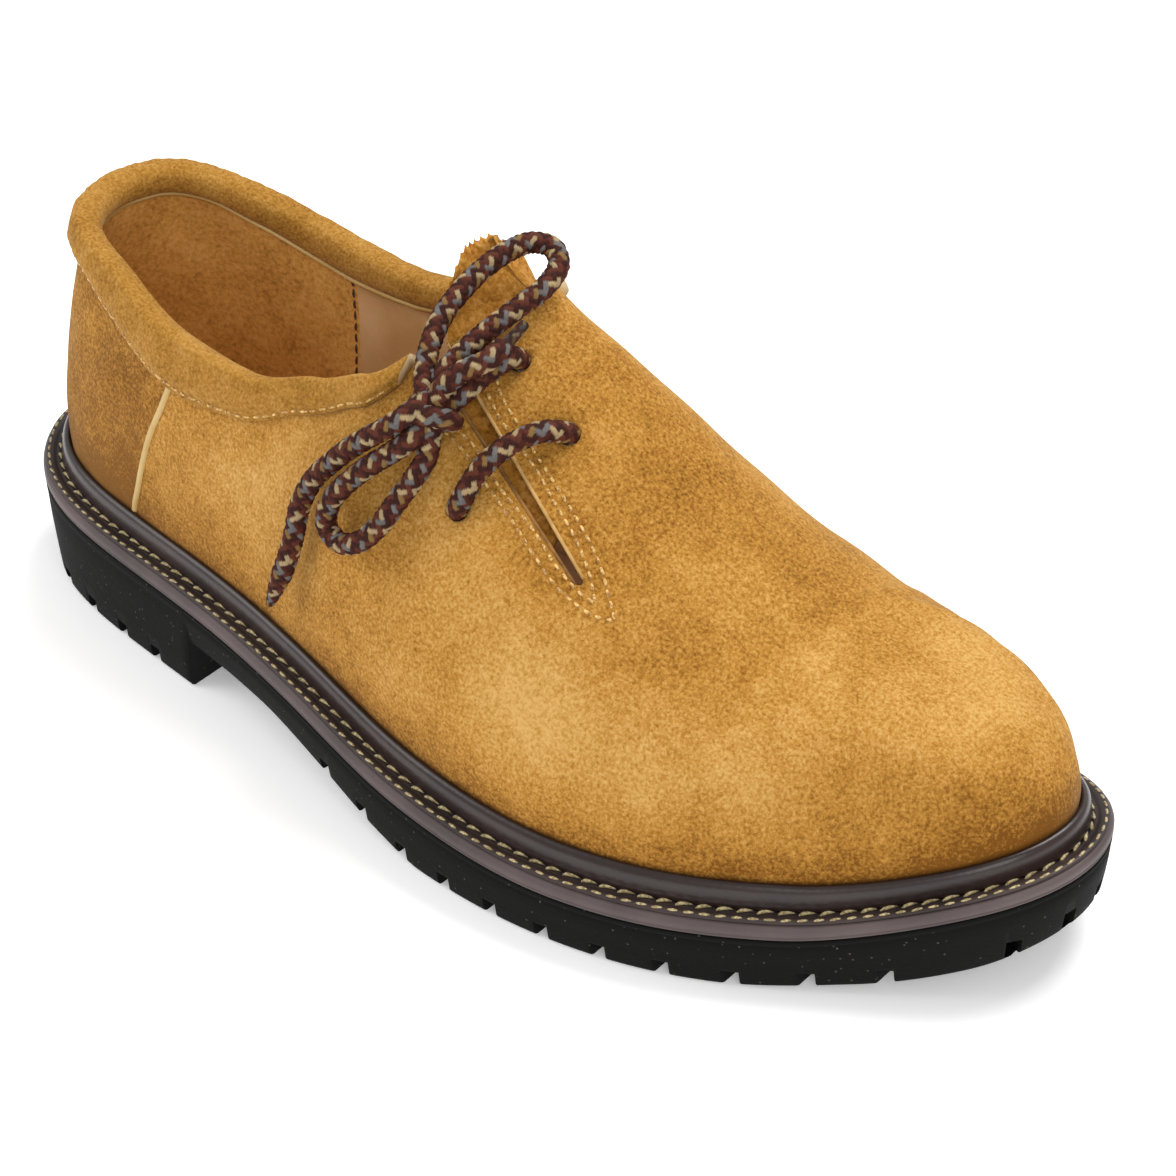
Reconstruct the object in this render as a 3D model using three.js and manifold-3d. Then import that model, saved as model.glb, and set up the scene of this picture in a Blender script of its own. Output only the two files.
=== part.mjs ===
// Right haferl shoe of suede on a lugged rubber sole, laced at its outer side.
// Millimetres. +X runs from heel to toe, +Y to the inner (big toe) side, +Z up from the ground.
import * as THREE from 'three';
import { mergeVertices } from 'three/addons/utils/BufferGeometryUtils.js';
import Module from 'manifold-3d';

const wasm = await Module();
wasm.setup();

// Driving dimensions of the last and the shoe
const soleLength = 306;
const halfBall = 58;
const instepHeight = 114;
const heelHeight = 27.5;
const archRise = 13.5;
const toeSpring = 14.5;

// Leather, rubber and lace thicknesses
const upperWall = 2.4;
const insoleThick = 3.5;
const midsoleThick = 3.9;
const tongueThick = 2;
const laceDiameter = 4.6;

// Clearances between pieces that touch on the real shoe
const gap = 0.3;
const tongueGap = 1.3;
const cuffGap = 0.5;

// Where the upper's lower edge stands, in from the sole's edge
const featherInset = 8;
const featherRise = midsoleThick + gap;
const insoleInset = featherInset + upperWall + gap;

// Rubber sole details
const heelEnd = 0.2614 * soleLength;
const breastLean = 1.4;
const groundInset = 1.4;
const soleChamfer = 1.2;
const lugPitch = 14;
const lugGap = 3.6;
const lugDepth = 4.5;
const lugReach = 7;
const spineGap = 3;
const spineOffset = 17;
const heelGrooves = 4;
const foreGrooves = 11;
const foreGrooveStart = 0.45;
const spineStart = 0.52;
const spineEnd = 0.87;
const edgeNotchPlaces = [
  { side: -1, station: 0.42 },
  { side: 1, station: 0.42 },
  { side: -1, station: 8.15 },
  { side: -1, station: 8.75 },
  { side: 1, station: 8.7 },
  { side: 1, station: 8.1 },
];

// Sole outline: x as a share of the length, both sides as shares of half the ball width
const outline = [
  { x: 0, lateral: 0.02, medial: 0.02 },
  { x: 0.044, lateral: -0.4, medial: 0.425 },
  { x: 0.147, lateral: -0.62, medial: 0.64 },
  { x: 0.317, lateral: -0.767, medial: 0.62 },
  { x: 0.487, lateral: -0.966, medial: 0.724 },
  { x: 0.637, lateral: -1.043, medial: 0.905 },
  { x: 0.775, lateral: -0.897, medial: 0.966 },
  { x: 0.889, lateral: -0.56, medial: 0.76 },
  { x: 0.971, lateral: -0.233, medial: 0.5 },
  { x: 1, lateral: 0.14, medial: 0.14 },
];
const toeStation = outline.length - 1;
const throatStation = 4;
const poleStation = 6;

// Top of the rubber: x share of the length, z share of the heel height
const rubberLine = [
  { x: 0, z: 1 },
  { x: 0.118, z: 0.938 },
  { x: 0.258, z: 0.902 },
  { x: 0.395, z: 0.822 },
  { x: 0.546, z: 0.611 },
  { x: 0.693, z: 0.509 },
  { x: 0.843, z: 0.545 },
  { x: 1, z: 1.018 },
];

// Underside ahead of the heel: x share of the length, shares of arch rise and toe spring
const underside = [
  { x: 0.264, arch: 1, spring: 0 },
  { x: 0.36, arch: 0.93, spring: 0 },
  { x: 0.44, arch: 0.63, spring: 0 },
  { x: 0.516, arch: 0.19, spring: 0 },
  { x: 0.562, arch: 0, spring: 0 },
  { x: 0.8, arch: 0, spring: 0 },
  { x: 0.889, arch: 0, spring: 0.18 },
  { x: 0.954, arch: 0, spring: 0.55 },
  { x: 1, arch: 0, spring: 1 },
];

// Line that the upper's ribs run up to: collar, throat, then the instep ridge to the toe's crown.
// x share of the length, z share of the instep height, sides as shares of half the ball width.
const crest = [
  { at: 0, x: 0.082, z: 0.921, lateral: 0.034, medial: 0.034 },
  { at: 0.6, x: 0.088, z: 0.918, lateral: -0.138, medial: 0.207 },
  { at: 1, x: 0.105, z: 0.908, lateral: -0.259, medial: 0.328 },
  { at: 2, x: 0.167, z: 0.873, lateral: -0.379, medial: 0.448 },
  { at: 2.6, x: 0.245, z: 0.825, lateral: -0.455, medial: 0.52 },
  { at: 3, x: 0.317, z: 0.855, lateral: -0.43, medial: 0.505 },
  { at: 3.3, x: 0.392, z: 0.985, lateral: -0.22, medial: 0.43 },
  { at: 3.6, x: 0.461, z: 1.06, lateral: 0.07, medial: 0.27 },
  { at: 3.8, x: 0.489, z: 1.04, lateral: 0.172, medial: 0.172 },
  { at: 4, x: 0.513, z: 1, lateral: 0.172, medial: 0.172 },
  { at: 4.5, x: 0.575, z: 0.9, lateral: 0.172, medial: 0.172 },
  { at: 5, x: 0.643, z: 0.775, lateral: 0.172, medial: 0.172 },
  { at: 5.5, x: 0.722, z: 0.65, lateral: 0.172, medial: 0.172 },
  { at: 6, x: 0.775, z: 0.592, lateral: 0.172, medial: 0.172 },
];

// Share of each rib that is leather: the collar and the throat cut the ribs short
const rimShare = [
  { at: 0, share: 0.955 },
  { at: 1, share: 0.955 },
  { at: 2, share: 0.948 },
  { at: 2.6, share: 0.93 },
  { at: 3, share: 0.83 },
  { at: 3.3, share: 0.725 },
  { at: 3.5, share: 0.672 },
  { at: 3.65, share: 0.655 },
  { at: 3.8, share: 0.7 },
  { at: 3.9, share: 0.8 },
  { at: 4, share: 1 },
];

// Fullness of the ribs: slopes in degrees where a rib reaches the crest on either side,
// lengths of its lower and upper handles, and its outward lean at the lower edge
const fullness = [
  { at: 0, lateral: 72, medial: 72, low: 0.3, high: 0.3, lean: 3 },
  { at: 1, lateral: 76, medial: 76, low: 0.3, high: 0.3, lean: 4 },
  { at: 2, lateral: 76, medial: 78, low: 0.3, high: 0.3, lean: 6 },
  { at: 3, lateral: 68, medial: 76, low: 0.34, high: 0.3, lean: 7 },
  { at: 3.3, lateral: 52, medial: 66, low: 0.38, high: 0.34, lean: 8 },
  { at: 3.6, lateral: 26, medial: 36, low: 0.44, high: 0.42, lean: 8 },
  { at: 3.8, lateral: 8, medial: 12, low: 0.48, high: 0.48, lean: 8 },
  { at: 4, lateral: 0, medial: 0, low: 0.5, high: 0.5, lean: 8 },
  { at: 5, lateral: 0, medial: 0, low: 0.58, high: 0.5, lean: 8 },
  { at: 6, lateral: 0, medial: 0, low: 0.7, high: 0.46, lean: 8 },
  { at: 7.5, lateral: 0, medial: 0, low: 0.82, high: 0.5, lean: 8 },
  { at: 9, lateral: 0, medial: 0, low: 0.86, high: 0.52, lean: 7 },
];

// Storm welt section: distance out from the upper's face, rise above the rubber
const weltHeight = 10.6;
const weltSection = [
  { out: 0, rise: featherRise },
  { out: 2.8, rise: featherRise },
  { out: 2.8, rise: 4.9 },
  { out: 2, rise: 5.8 },
  { out: 1.3, rise: 9.4 },
  { out: 0.8, rise: 10.3 },
  { out: 0, rise: weltHeight },
];

// Rolled collar band as a channel over the upper's edge. Each row is one wall of the channel and
// the skin outside it: face 1 outside the shoe, -1 inside, 0 on top; reach is a share of the band's
// way down from the upper's edge.
const cuffSection = [
  { face: 1, reach: 1, skin: 1.2, lift: 0 },
  { face: 1, reach: 0.88, skin: 2.5, lift: 0 },
  { face: 1, reach: 0.45, skin: 3.1, lift: 0 },
  { face: 1, reach: 0, skin: 2.1, lift: 1.6 },
  { face: 0, reach: 0, skin: 0, lift: 3 },
  { face: -1, reach: 0, skin: 1.2, lift: 1.6 },
  { face: -1, reach: 0.35, skin: 2, lift: 0 },
  { face: -1, reach: 0.55, skin: 1, lift: 0 },
];

// How far the collar band reaches down over the outside of the upper
const cuffReach = [
  { at: 0, down: 7 },
  { at: 1.4, down: 7 },
  { at: 2, down: 10 },
  { at: 2.6, down: 12 },
  { at: 3, down: 9 },
  { at: 3.3, down: 7 },
  { at: 3.8, down: 6 },
];
const cuffEndLateral = 3.76;
const cuffEndMedial = 3.72;

// Side lacing: slit on the outer side of the vamp, a pair of lace holes on each side of it
const placeOf = (x, y, z) => new THREE.Vector3(x * soleLength, y * halfBall, z * instepHeight);
const slitFoot = placeOf(0.6405, -0.4897, 0.6553);
const slitHead = placeOf(0.4673, -0.2638, 0.9711);
const slitWay = new THREE.Vector3(0.32, -0.6, 0.73);
const slitFootWidth = 1.8;
const slitHeadWidth = 5;
const laceHoleDiameter = 5.4;
const knotCentre = placeOf(0.5105, -0.4862, 0.886);
const knotWay = new THREE.Vector3(-0.2, 0.7, 0.69);
const knotSize = { length: 12, width: 9, height: 8.6 };
const slitCutDepth = 24;
const laceHoles = [
  { at: 4.32, share: 0.515 },
  { at: 4.59, share: 0.79 },
  { at: 4.18, share: 0.82 },
  { at: 3.97, share: 0.58 },
];

// Heel panel seams: piping from the collar down to the welt, same stations on both sides
const pipingWidth = 1.8;
const pipingHeight = 1.1;
const pipingLine = [
  { at: 2.21, share: 0.125 },
  { at: 2.24, share: 0.2 },
  { at: 2.3, share: 0.32 },
  { at: 2.4, share: 0.49 },
  { at: 2.5, share: 0.64 },
  { at: 2.56, share: 0.72 },
];

// Tongue: how far it reaches to each side, and how far it stands above the throat
const tongueFrontStation = 4.8;
const tongueStandStation = 3.84;
const tongueSides = [
  { at: 3.84, lateral: 0.735, medial: 0.8 },
  { at: 3.95, lateral: 0.66, medial: 0.77 },
  { at: 4.1, lateral: 0.54, medial: 0.74 },
  { at: 4.8, lateral: 0.54, medial: 0.74 },
];
const tongueStand = [
  { across: -1, length: 14 },
  { across: -0.6, length: 16 },
  { across: 0, length: 12.5 },
  { across: 0.6, length: 9.5 },
  { across: 1, length: 4 },
];
const pinkDepth = 1.3;

// Value of one column of a table at a place, by a monotone cubic that never overshoots its rows
function tableAt(table, key, column, place, slopedEnds = false) {
  const last = table.length - 1;
  const at = THREE.MathUtils.clamp(place, table[0][key], table[last][key]);
  let row = 0;
  while (row < last - 1 && at >= table[row + 1][key]) {
    row += 1;
  }
  const step = (i) => table[i + 1][key] - table[i][key];
  const rise = (i) => (table[i + 1][column] - table[i][column]) / step(i);
  const slope = (i) => {
    if (i === 0 || i === last) {
      return slopedEnds ? rise(Math.min(i, last - 1)) : 0;
    }
    const before = rise(i - 1);
    const after = rise(i);
    if (before * after <= 0) {
      return 0;
    }
    const a = 2 * step(i) + step(i - 1);
    const b = step(i) + 2 * step(i - 1);
    return (a + b) / (a / before + b / after);
  };
  const width = step(row);
  const f = (at - table[row][key]) / width;
  const hermite = [
    (1 + 2 * f) * (1 - f) ** 2,
    f * (1 - f) ** 2 * width,
    f * f * (3 - 2 * f),
    f * f * (f - 1) * width,
  ];
  return (
    hermite[0] * table[row][column] +
    hermite[1] * slope(row) +
    hermite[2] * table[row + 1][column] +
    hermite[3] * slope(row + 1)
  );
}

// Closed outline as a smooth spline. Station 0 is the heel, toeStation the toe;
// the medial side runs back from the toe, so a side and a station give one place on it.
const outlineRows = [
  ...outline.map((row) => new THREE.Vector2(row.x * soleLength, row.lateral * halfBall)),
  ...outline
    .slice(1, -1)
    .reverse()
    .map((row) => new THREE.Vector2(row.x * soleLength, row.medial * halfBall)),
];
const outlineCount = outlineRows.length;
const wrapped = (i) => ((i % outlineCount) + outlineCount) % outlineCount;

// Spline controls, pulled out until the curve passes through the outline's rows
function splineControls(rows, passes = 40) {
  let controls = rows.map((row) => row.clone());
  for (let pass = 0; pass < passes; pass += 1) {
    controls = rows.map((row, i) => {
      const sides = controls[wrapped(i - 1)].clone().add(controls[wrapped(i + 1)]);
      return row.clone().multiplyScalar(6).sub(sides).divideScalar(4);
    });
  }
  return controls;
}
const outlineControls = splineControls(outlineRows);

// Place on the outline and the way out from it, for a side (-1 lateral, 1 medial) and a station
function outlineAt(side, station) {
  const place = side < 0 ? station : outlineCount - station;
  const base = Math.floor(place);
  const f = place - base;
  const weights = [(1 - f) ** 3, 3 * f ** 3 - 6 * f * f + 4, -3 * f ** 3 + 3 * f * f + 3 * f + 1, f ** 3];
  const slopes = [-((1 - f) ** 2), 3 * f * f - 4 * f, -3 * f * f + 2 * f + 1, f * f];
  const point = new THREE.Vector2();
  const tangent = new THREE.Vector2();
  for (let i = 0; i < 4; i += 1) {
    const control = outlineControls[wrapped(base - 1 + i)];
    point.addScaledVector(control, weights[i] / 6);
    tangent.addScaledVector(control, slopes[i] / 2);
  }
  const out = new THREE.Vector2(tangent.y, -tangent.x).normalize();
  return { point, out };
}

const rubberTop = (x) => heelHeight * tableAt(rubberLine, 'x', 'z', x / soleLength, true);

// Point set in from the outline by an inset, at a rise above the top of the rubber
function edgePoint(side, station, inset, rise) {
  const { point, out } = outlineAt(side, station);
  const x = point.x - out.x * inset;
  const y = point.y - out.y * inset;
  return new THREE.Vector3(x, y, rubberTop(x) + rise);
}

// Top of a rib on the crest line
function crestPoint(side, station) {
  const at = Math.min(station, poleStation);
  const column = side < 0 ? 'lateral' : 'medial';
  return new THREE.Vector3(
    tableAt(crest, 'at', 'x', at) * soleLength,
    tableAt(crest, 'at', column, at, true) * halfBall,
    tableAt(crest, 'at', 'z', at) * instepHeight,
  );
}

// Slope of the instep ridge along X
const ridgeStep = 0.001;
function ridgeSlope(side, station) {
  const at = THREE.MathUtils.clamp(station, throatStation, poleStation - 0.1);
  const rise = crestPoint(side, at + ridgeStep).sub(crestPoint(side, at - ridgeStep));
  return rise.z / rise.x;
}

const upward = new THREE.Vector3(0, 0, 1);

// The last's surface: a rib for each side and station, share 0 at the welt and 1 at the crest
function lastPoint(side, station, share) {
  const { out } = outlineAt(side, station);
  const outward = new THREE.Vector3(out.x, out.y, 0);
  const foot = edgePoint(side, station, featherInset, featherRise);
  const top = crestPoint(side, station);
  const column = side < 0 ? 'lateral' : 'medial';
  const slope = station < throatStation ? tableAt(fullness, 'at', column, station) : 0;
  const angle = THREE.MathUtils.degToRad(slope);
  const lean = THREE.MathUtils.degToRad(tableAt(fullness, 'at', 'lean', station));
  const across = new THREE.Vector3(-out.x, -out.y, -out.x * ridgeSlope(side, station)).normalize();
  const arrive = across
    .multiplyScalar(Math.cos(angle))
    .addScaledVector(upward, Math.sin(angle))
    .normalize();
  const leave = outward.multiplyScalar(Math.sin(lean)).addScaledVector(upward, Math.cos(lean));
  const height = top.z - foot.z;
  const width = Math.hypot(top.x - foot.x, top.y - foot.y);
  const low = tableAt(fullness, 'at', 'low', station) * height;
  const slant = width * Math.cos(angle) + height * Math.sin(angle);
  const high = tableAt(fullness, 'at', 'high', station) * slant;
  const lowHandle = foot.clone().addScaledVector(leave, low);
  const highHandle = top.clone().addScaledVector(arrive, -high);
  return new THREE.CubicBezierCurve3(foot, lowHandle, highHandle, top).getPoint(share);
}

const rimAt = (station) => tableAt(rimShare, 'at', 'share', Math.min(station, throatStation));

// The way out of the last's surface on one side
const probe = 0.002;
function sideNormal(side, station, share) {
  const s = THREE.MathUtils.clamp(share, probe, 0.99);
  const k = THREE.MathUtils.clamp(station, probe, toeStation - probe);
  const along = lastPoint(side, k + probe, s).sub(lastPoint(side, k - probe, s));
  const up = lastPoint(side, k, s + probe).sub(lastPoint(side, k, s - probe));
  return along.cross(up).multiplyScalar(-side).normalize();
}

// The same way out, shared by both sides where they meet: heel, toe and instep ridge
function lastNormal(side, station, share) {
  if (share === 1 && station >= throatStation) {
    return new THREE.Vector3(-ridgeSlope(side, station), 0, 1).normalize();
  }
  if (station === 0 || station === toeStation) {
    return sideNormal(-1, station, share).add(sideNormal(1, station, share)).normalize();
  }
  return sideNormal(side, station, share);
}

// Point of the last moved out (or in, when negative) along its normal
function offPoint(side, station, share, out) {
  return lastPoint(side, station, share).addScaledVector(lastNormal(side, station, share), out);
}

// Point of the upper's face at a rise above the rubber, moved out level with the ground
function facePoint(side, station, out, rise) {
  let low = 0;
  let high = 0.5;
  for (let pass = 0; pass < 24; pass += 1) {
    const middle = (low + high) / 2;
    const point = lastPoint(side, station, middle);
    if (point.z - rubberTop(point.x) < rise) {
      low = middle;
    } else {
      high = middle;
    }
  }
  const point = lastPoint(side, station, low);
  const way = outlineAt(side, station).out;
  const x = point.x + way.x * out;
  return new THREE.Vector3(x, point.y + way.y * out, rubberTop(x) + rise);
}

// Collects faces and turns them into one closed, outward facing geometry
class Skin {
  constructor() {
    this.positions = [];
  }

  triangle(a, b, c) {
    const tiny = 1e-4;
    if (a.distanceTo(b) < tiny || b.distanceTo(c) < tiny || c.distanceTo(a) < tiny) {
      return;
    }
    this.positions.push(...a.toArray(), ...b.toArray(), ...c.toArray());
  }

  quad(a, b, c, d) {
    this.triangle(a, b, c);
    this.triangle(a, c, d);
  }

  // Band of faces between two rows of points
  band(first, second) {
    for (let i = 0; i < first.length - 1; i += 1) {
      this.quad(first[i], first[i + 1], second[i + 1], second[i]);
    }
  }

  sheet(rows, flipped = false) {
    for (let i = 0; i < rows.length - 1; i += 1) {
      if (flipped) {
        this.band(rows[i + 1], rows[i]);
      } else {
        this.band(rows[i], rows[i + 1]);
      }
    }
  }

  geometry() {
    const raw = new THREE.BufferGeometry();
    raw.setAttribute('position', new THREE.Float32BufferAttribute(this.positions, 3));
    const merged = mergeVertices(raw, 1e-3);
    return volumeOf(merged) < 0 ? flipped(merged) : merged;
  }
}

function volumeOf(geometry) {
  const position = geometry.getAttribute('position');
  const index = geometry.getIndex();
  const corner = [new THREE.Vector3(), new THREE.Vector3(), new THREE.Vector3()];
  let volume = 0;
  for (let i = 0; i < index.count; i += 3) {
    corner.forEach((vector, j) => vector.fromBufferAttribute(position, index.getX(i + j)));
    volume += corner[0].dot(corner[1].cross(corner[2])) / 6;
  }
  return volume;
}

function flipped(geometry) {
  const index = Array.from(geometry.getIndex().array);
  for (let i = 0; i < index.length; i += 3) {
    [index[i + 1], index[i + 2]] = [index[i + 2], index[i + 1]];
  }
  geometry.setIndex(index);
  return geometry;
}

// Solid between two matching grids of points, closed around its border
function thickSheet(outer, inner) {
  const skin = new Skin();
  const last = outer.length - 1;
  const side = outer[0].length - 1;
  skin.sheet(outer);
  skin.sheet(inner, true);
  skin.band(inner[0], outer[0]);
  skin.band(outer[last], inner[last]);
  skin.band(outer.map((row) => row[0]), inner.map((row) => row[0]));
  skin.band(inner.map((row) => row[side]), outer.map((row) => row[side]));
  return skin.geometry();
}

// Solid swept through closed sections; a closed run joins its last section to its first
function sweep(sections, closed) {
  const skin = new Skin();
  const rings = sections.map((section) => [...section, section[0]]);
  skin.sheet(closed ? [...rings, rings[0]] : rings);
  if (!closed) {
    [sections[0], [...sections[sections.length - 1]].reverse()].forEach((cap) => {
      const half = cap.length / 2;
      const front = cap.slice(0, half);
      const back = cap.slice(half).reverse();
      skin.band(back, front);
    });
  }
  return skin.geometry();
}

// Even run of stations
function stationRun(from, to, count) {
  return Array.from({ length: count + 1 }, (_, i) => from + ((to - from) * i) / count);
}

// Way once round the shoe: the lateral side to the toe, then the medial side back
function roundTrip(stations) {
  const there = stations.map((station) => ({ side: -1, station }));
  const back = stations.slice(1, -1).reverse().map((station) => ({ side: 1, station }));
  return [...there, ...back];
}

// Flat layer of the sole, closed by caps that run straight across from side to side
function layer(stations, levels) {
  const skin = new Skin();
  const lateral = levels.map((level) => stations.map((station) => level(-1, station)));
  const medial = levels.map((level) => stations.map((station) => level(1, station)));
  skin.sheet(lateral);
  skin.sheet(medial, true);
  skin.band(medial[0], lateral[0]);
  skin.band(lateral[levels.length - 1], medial[levels.length - 1]);
  return skin.geometry();
}

// Manifold solids for the cuts
function toSolid(geometry) {
  const bare = new THREE.BufferGeometry();
  bare.setAttribute('position', geometry.getAttribute('position').clone());
  bare.setIndex(geometry.getIndex() ? Array.from(geometry.getIndex().array) : null);
  const merged = mergeVertices(bare, 1e-3);
  return new wasm.Manifold(new wasm.Mesh({
    numProp: 3,
    vertProperties: new Float32Array(merged.getAttribute('position').array),
    triVerts: new Uint32Array(merged.getIndex().array),
  }));
}

function toGeometry(solid) {
  const mesh = solid.getMesh();
  const geometry = new THREE.BufferGeometry();
  geometry.setAttribute('position', new THREE.BufferAttribute(new Float32Array(mesh.vertProperties), 3));
  geometry.setIndex(Array.from(mesh.triVerts));
  return geometry;
}

function cutBy(geometry, cutters) {
  let solid = toSolid(geometry);
  cutters.forEach((cutter) => {
    solid = solid.subtract(toSolid(cutter));
  });
  return toGeometry(solid);
}

// Basis matrix from three directions and a place
function frameAt(xWay, yWay, zWay, place) {
  return new THREE.Matrix4().makeBasis(xWay, yWay, zWay).setPosition(place);
}

const stationOfX = (x) => {
  let low = 0;
  let high = toeStation;
  for (let pass = 0; pass < 30; pass += 1) {
    const middle = (low + high) / 2;
    if (outlineAt(-1, middle).point.x < x) {
      low = middle;
    } else {
      high = middle;
    }
  }
  return low;
};

function undersideAt(x) {
  const share = x / soleLength;
  const arch = archRise * tableAt(underside, 'x', 'arch', share);
  return arch + toeSpring * tableAt(underside, 'x', 'spring', share, true);
}

// Rubber unit: heel block, arch and lugged forefoot in one piece
function outsoleGeometry() {
  const breast = stationOfX(heelEnd);
  const arch = stationOfX(heelEnd + breastLean);
  const stations = [...stationRun(0, breast, 12), ...stationRun(arch, toeStation, 28)];
  const bottom = (x, station) => (station <= breast ? 0 : undersideAt(x));
  const lower = (inset, lift) => (side, station) => {
    const point = edgePoint(side, station, inset, 0);
    return point.setZ(bottom(point.x, station) + lift);
  };
  const levels = [
    lower(groundInset + soleChamfer, 0),
    lower(groundInset, soleChamfer),
    (side, station) => edgePoint(side, station, 0, -gap / 2),
  ];
  return cutBy(layer(stations, levels), [...crossGrooves(), ...edgeNotches(), ...spineGrooves()]);
}

const grooveFloor = -1;

// Straight grooves from side to side under the heel and the forefoot
function crossGrooves() {
  const heelRows = Array.from({ length: heelGrooves }, (_, i) => heelEnd - (i + 1) * lugPitch);
  const foreRows = Array.from({ length: foreGrooves }, (_, i) => foreGrooveStart * soleLength + i * lugPitch);
  return [...heelRows, ...foreRows].map((x) => {
    const top = (x > heelEnd ? undersideAt(x) : 0) + lugDepth;
    const groove = new THREE.BoxGeometry(lugGap, 3 * halfBall, top - grooveFloor);
    return groove.translate(x, 0, (top + grooveFloor) / 2);
  });
}

// Short notches that fan round the heel's back and the toe
function edgeNotches() {
  return edgeNotchPlaces.map(({ side, station }) => {
    const { point, out } = outlineAt(side, station);
    const outward = new THREE.Vector3(out.x, out.y, 0);
    const along = new THREE.Vector3(out.y, -out.x, 0);
    const bottom = station > 1 ? undersideAt(point.x) : 0;
    const box = new THREE.BoxGeometry(lugGap, 2 * lugReach, lugDepth - grooveFloor);
    const place = new THREE.Vector3(point.x, point.y, bottom + (lugDepth + grooveFloor) / 2);
    return box.applyMatrix4(frameAt(along, outward, upward, place));
  });
}

// Two lengthwise grooves that part the lugs of the forefoot
function spineGrooves() {
  const from = spineStart * soleLength;
  const to = spineEnd * soleLength;
  return [-1, 1].map((side) => {
    const groove = new THREE.BoxGeometry(to - from, spineGap, lugDepth - grooveFloor);
    return groove.translate((from + to) / 2, side * spineOffset, (lugDepth + grooveFloor) / 2);
  });
}

const soleStations = stationRun(0, toeStation, 38);

// Brown midsole with a rounded edge
function midsoleGeometry() {
  const profile = [
    { inset: 0.5, rise: gap / 2 },
    { inset: 0, rise: 0.8 },
    { inset: 0, rise: midsoleThick * 0.65 },
    { inset: 0.5, rise: midsoleThick * 0.9 },
    { inset: 1.4, rise: midsoleThick },
  ];
  const levels = profile.map(({ inset, rise }) => (side, station) => edgePoint(side, station, inset, rise));
  return layer(soleStations, levels);
}

function insoleGeometry() {
  const levels = [
    (side, station) => edgePoint(side, station, insoleInset, featherRise),
    (side, station) => edgePoint(side, station, insoleInset, featherRise + insoleThick),
  ];
  return layer(soleStations, levels);
}

// Storm welt that rises against the upper all the way round
function weltGeometry() {
  const sections = roundTrip(soleStations).map(({ side, station }) =>
    weltSection.map(({ out, rise }) => facePoint(side, station, out + gap, rise)),
  );
  return sweep(sections, true);
}

const upperStations = [
  ...stationRun(0, 3, 13),
  ...stationRun(3, throatStation, 12).slice(1),
  ...stationRun(throatStation, toeStation, 25).slice(1),
];
const upperLevels = stationRun(0, 1, 8);

// Upper: one hollow leather wall, open at the collar and under the foot
function upperGeometry() {
  const skin = new Skin();
  const wallFace = (side, depth) => upperStations.map((station) =>
    upperLevels.map((level) => offPoint(side, station, level * rimAt(station), -depth)),
  );
  [-1, 1].forEach((side) => {
    const outer = wallFace(side, 0);
    const inner = wallFace(side, upperWall);
    const last = upperLevels.length - 1;
    const openRim = upperStations.filter((station) => station <= throatStation).length;
    const edge = (face, level, count) => face.slice(0, count).map((column) => column[level]);
    const count = upperStations.length;
    skin.sheet(outer, side > 0);
    skin.sheet(inner, side < 0);
    const foot = [edge(outer, 0, count), edge(inner, 0, count)];
    const rim = [edge(outer, last, openRim), edge(inner, last, openRim)];
    skin.sheet(foot, side > 0);
    skin.sheet(rim, side < 0);
  });
  return cutBy(skin.geometry(), [slitCutter(), ...laceHoles.map(holeCutter)]);
}

// Wedge that cuts the slit, square to the vamp, with a round foot
function slitCutter() {
  const along = slitHead.clone().sub(slitFoot);
  const length = along.length();
  along.normalize();
  const out = slitWay.clone().addScaledVector(along, -slitWay.dot(along)).normalize();
  const across = along.clone().cross(out).normalize();
  const shape = new THREE.Shape();
  shape.moveTo(slitHeadWidth / 2, length);
  shape.lineTo(-slitHeadWidth / 2, length);
  shape.lineTo(-slitFootWidth / 2, 0);
  shape.absarc(0, 0, slitFootWidth / 2, Math.PI, 2 * Math.PI, false);
  shape.closePath();
  const cutter = new THREE.ExtrudeGeometry(shape, {
    depth: slitCutDepth,
    bevelEnabled: false,
    curveSegments: 6,
  });
  cutter.translate(0, 0, -slitCutDepth / 2);
  return cutter.applyMatrix4(frameAt(across, along, out, slitFoot));
}

// Round punch square to the leather of the lateral side
function holeCutter({ at, share }) {
  const way = lastNormal(-1, at, share);
  const radius = laceHoleDiameter / 2;
  const punch = new THREE.CylinderGeometry(radius, radius, 6 * upperWall, 14);
  const turn = new THREE.Quaternion().setFromUnitVectors(new THREE.Vector3(0, 1, 0), way);
  punch.applyQuaternion(turn);
  const place = lastPoint(-1, at, share);
  return punch.translate(place.x, place.y, place.z);
}

// Section of the collar band at one station
function cuffRing(side, station) {
  const rim = rimAt(station);
  const below = lastPoint(side, station, rim - 0.1);
  const perShare = 0.1 / lastPoint(side, station, rim).distanceTo(below);
  const depthOf = {
    1: (skin) => cuffGap + skin,
    0: (skin) => skin - upperWall / 2,
    [-1]: (skin) => -upperWall - cuffGap - skin,
  };
  const reach = tableAt(cuffReach, 'at', 'down', station);
  const place = (row, lift, skin) => {
    const down = row.reach * reach - cuffGap * (row.reach === 0 ? 1 : 0) - lift;
    return offPoint(side, station, rim - down * perShare, depthOf[row.face](skin));
  };
  const skin = cuffSection.map((row) => place(row, row.lift, row.skin));
  const channel = cuffSection.map((row) => place(row, 0, 0)).reverse();
  return [...skin, ...channel];
}

function collarBandGeometry() {
  const lateral = upperStations.filter((station) => station < cuffEndLateral).reverse();
  const medial = upperStations.filter((station) => station > 0 && station < cuffEndMedial);
  const lateralRings = lateral.map((station) => cuffRing(-1, station));
  return sweep([...lateralRings, ...medial.map((station) => cuffRing(1, station))], false);
}

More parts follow.
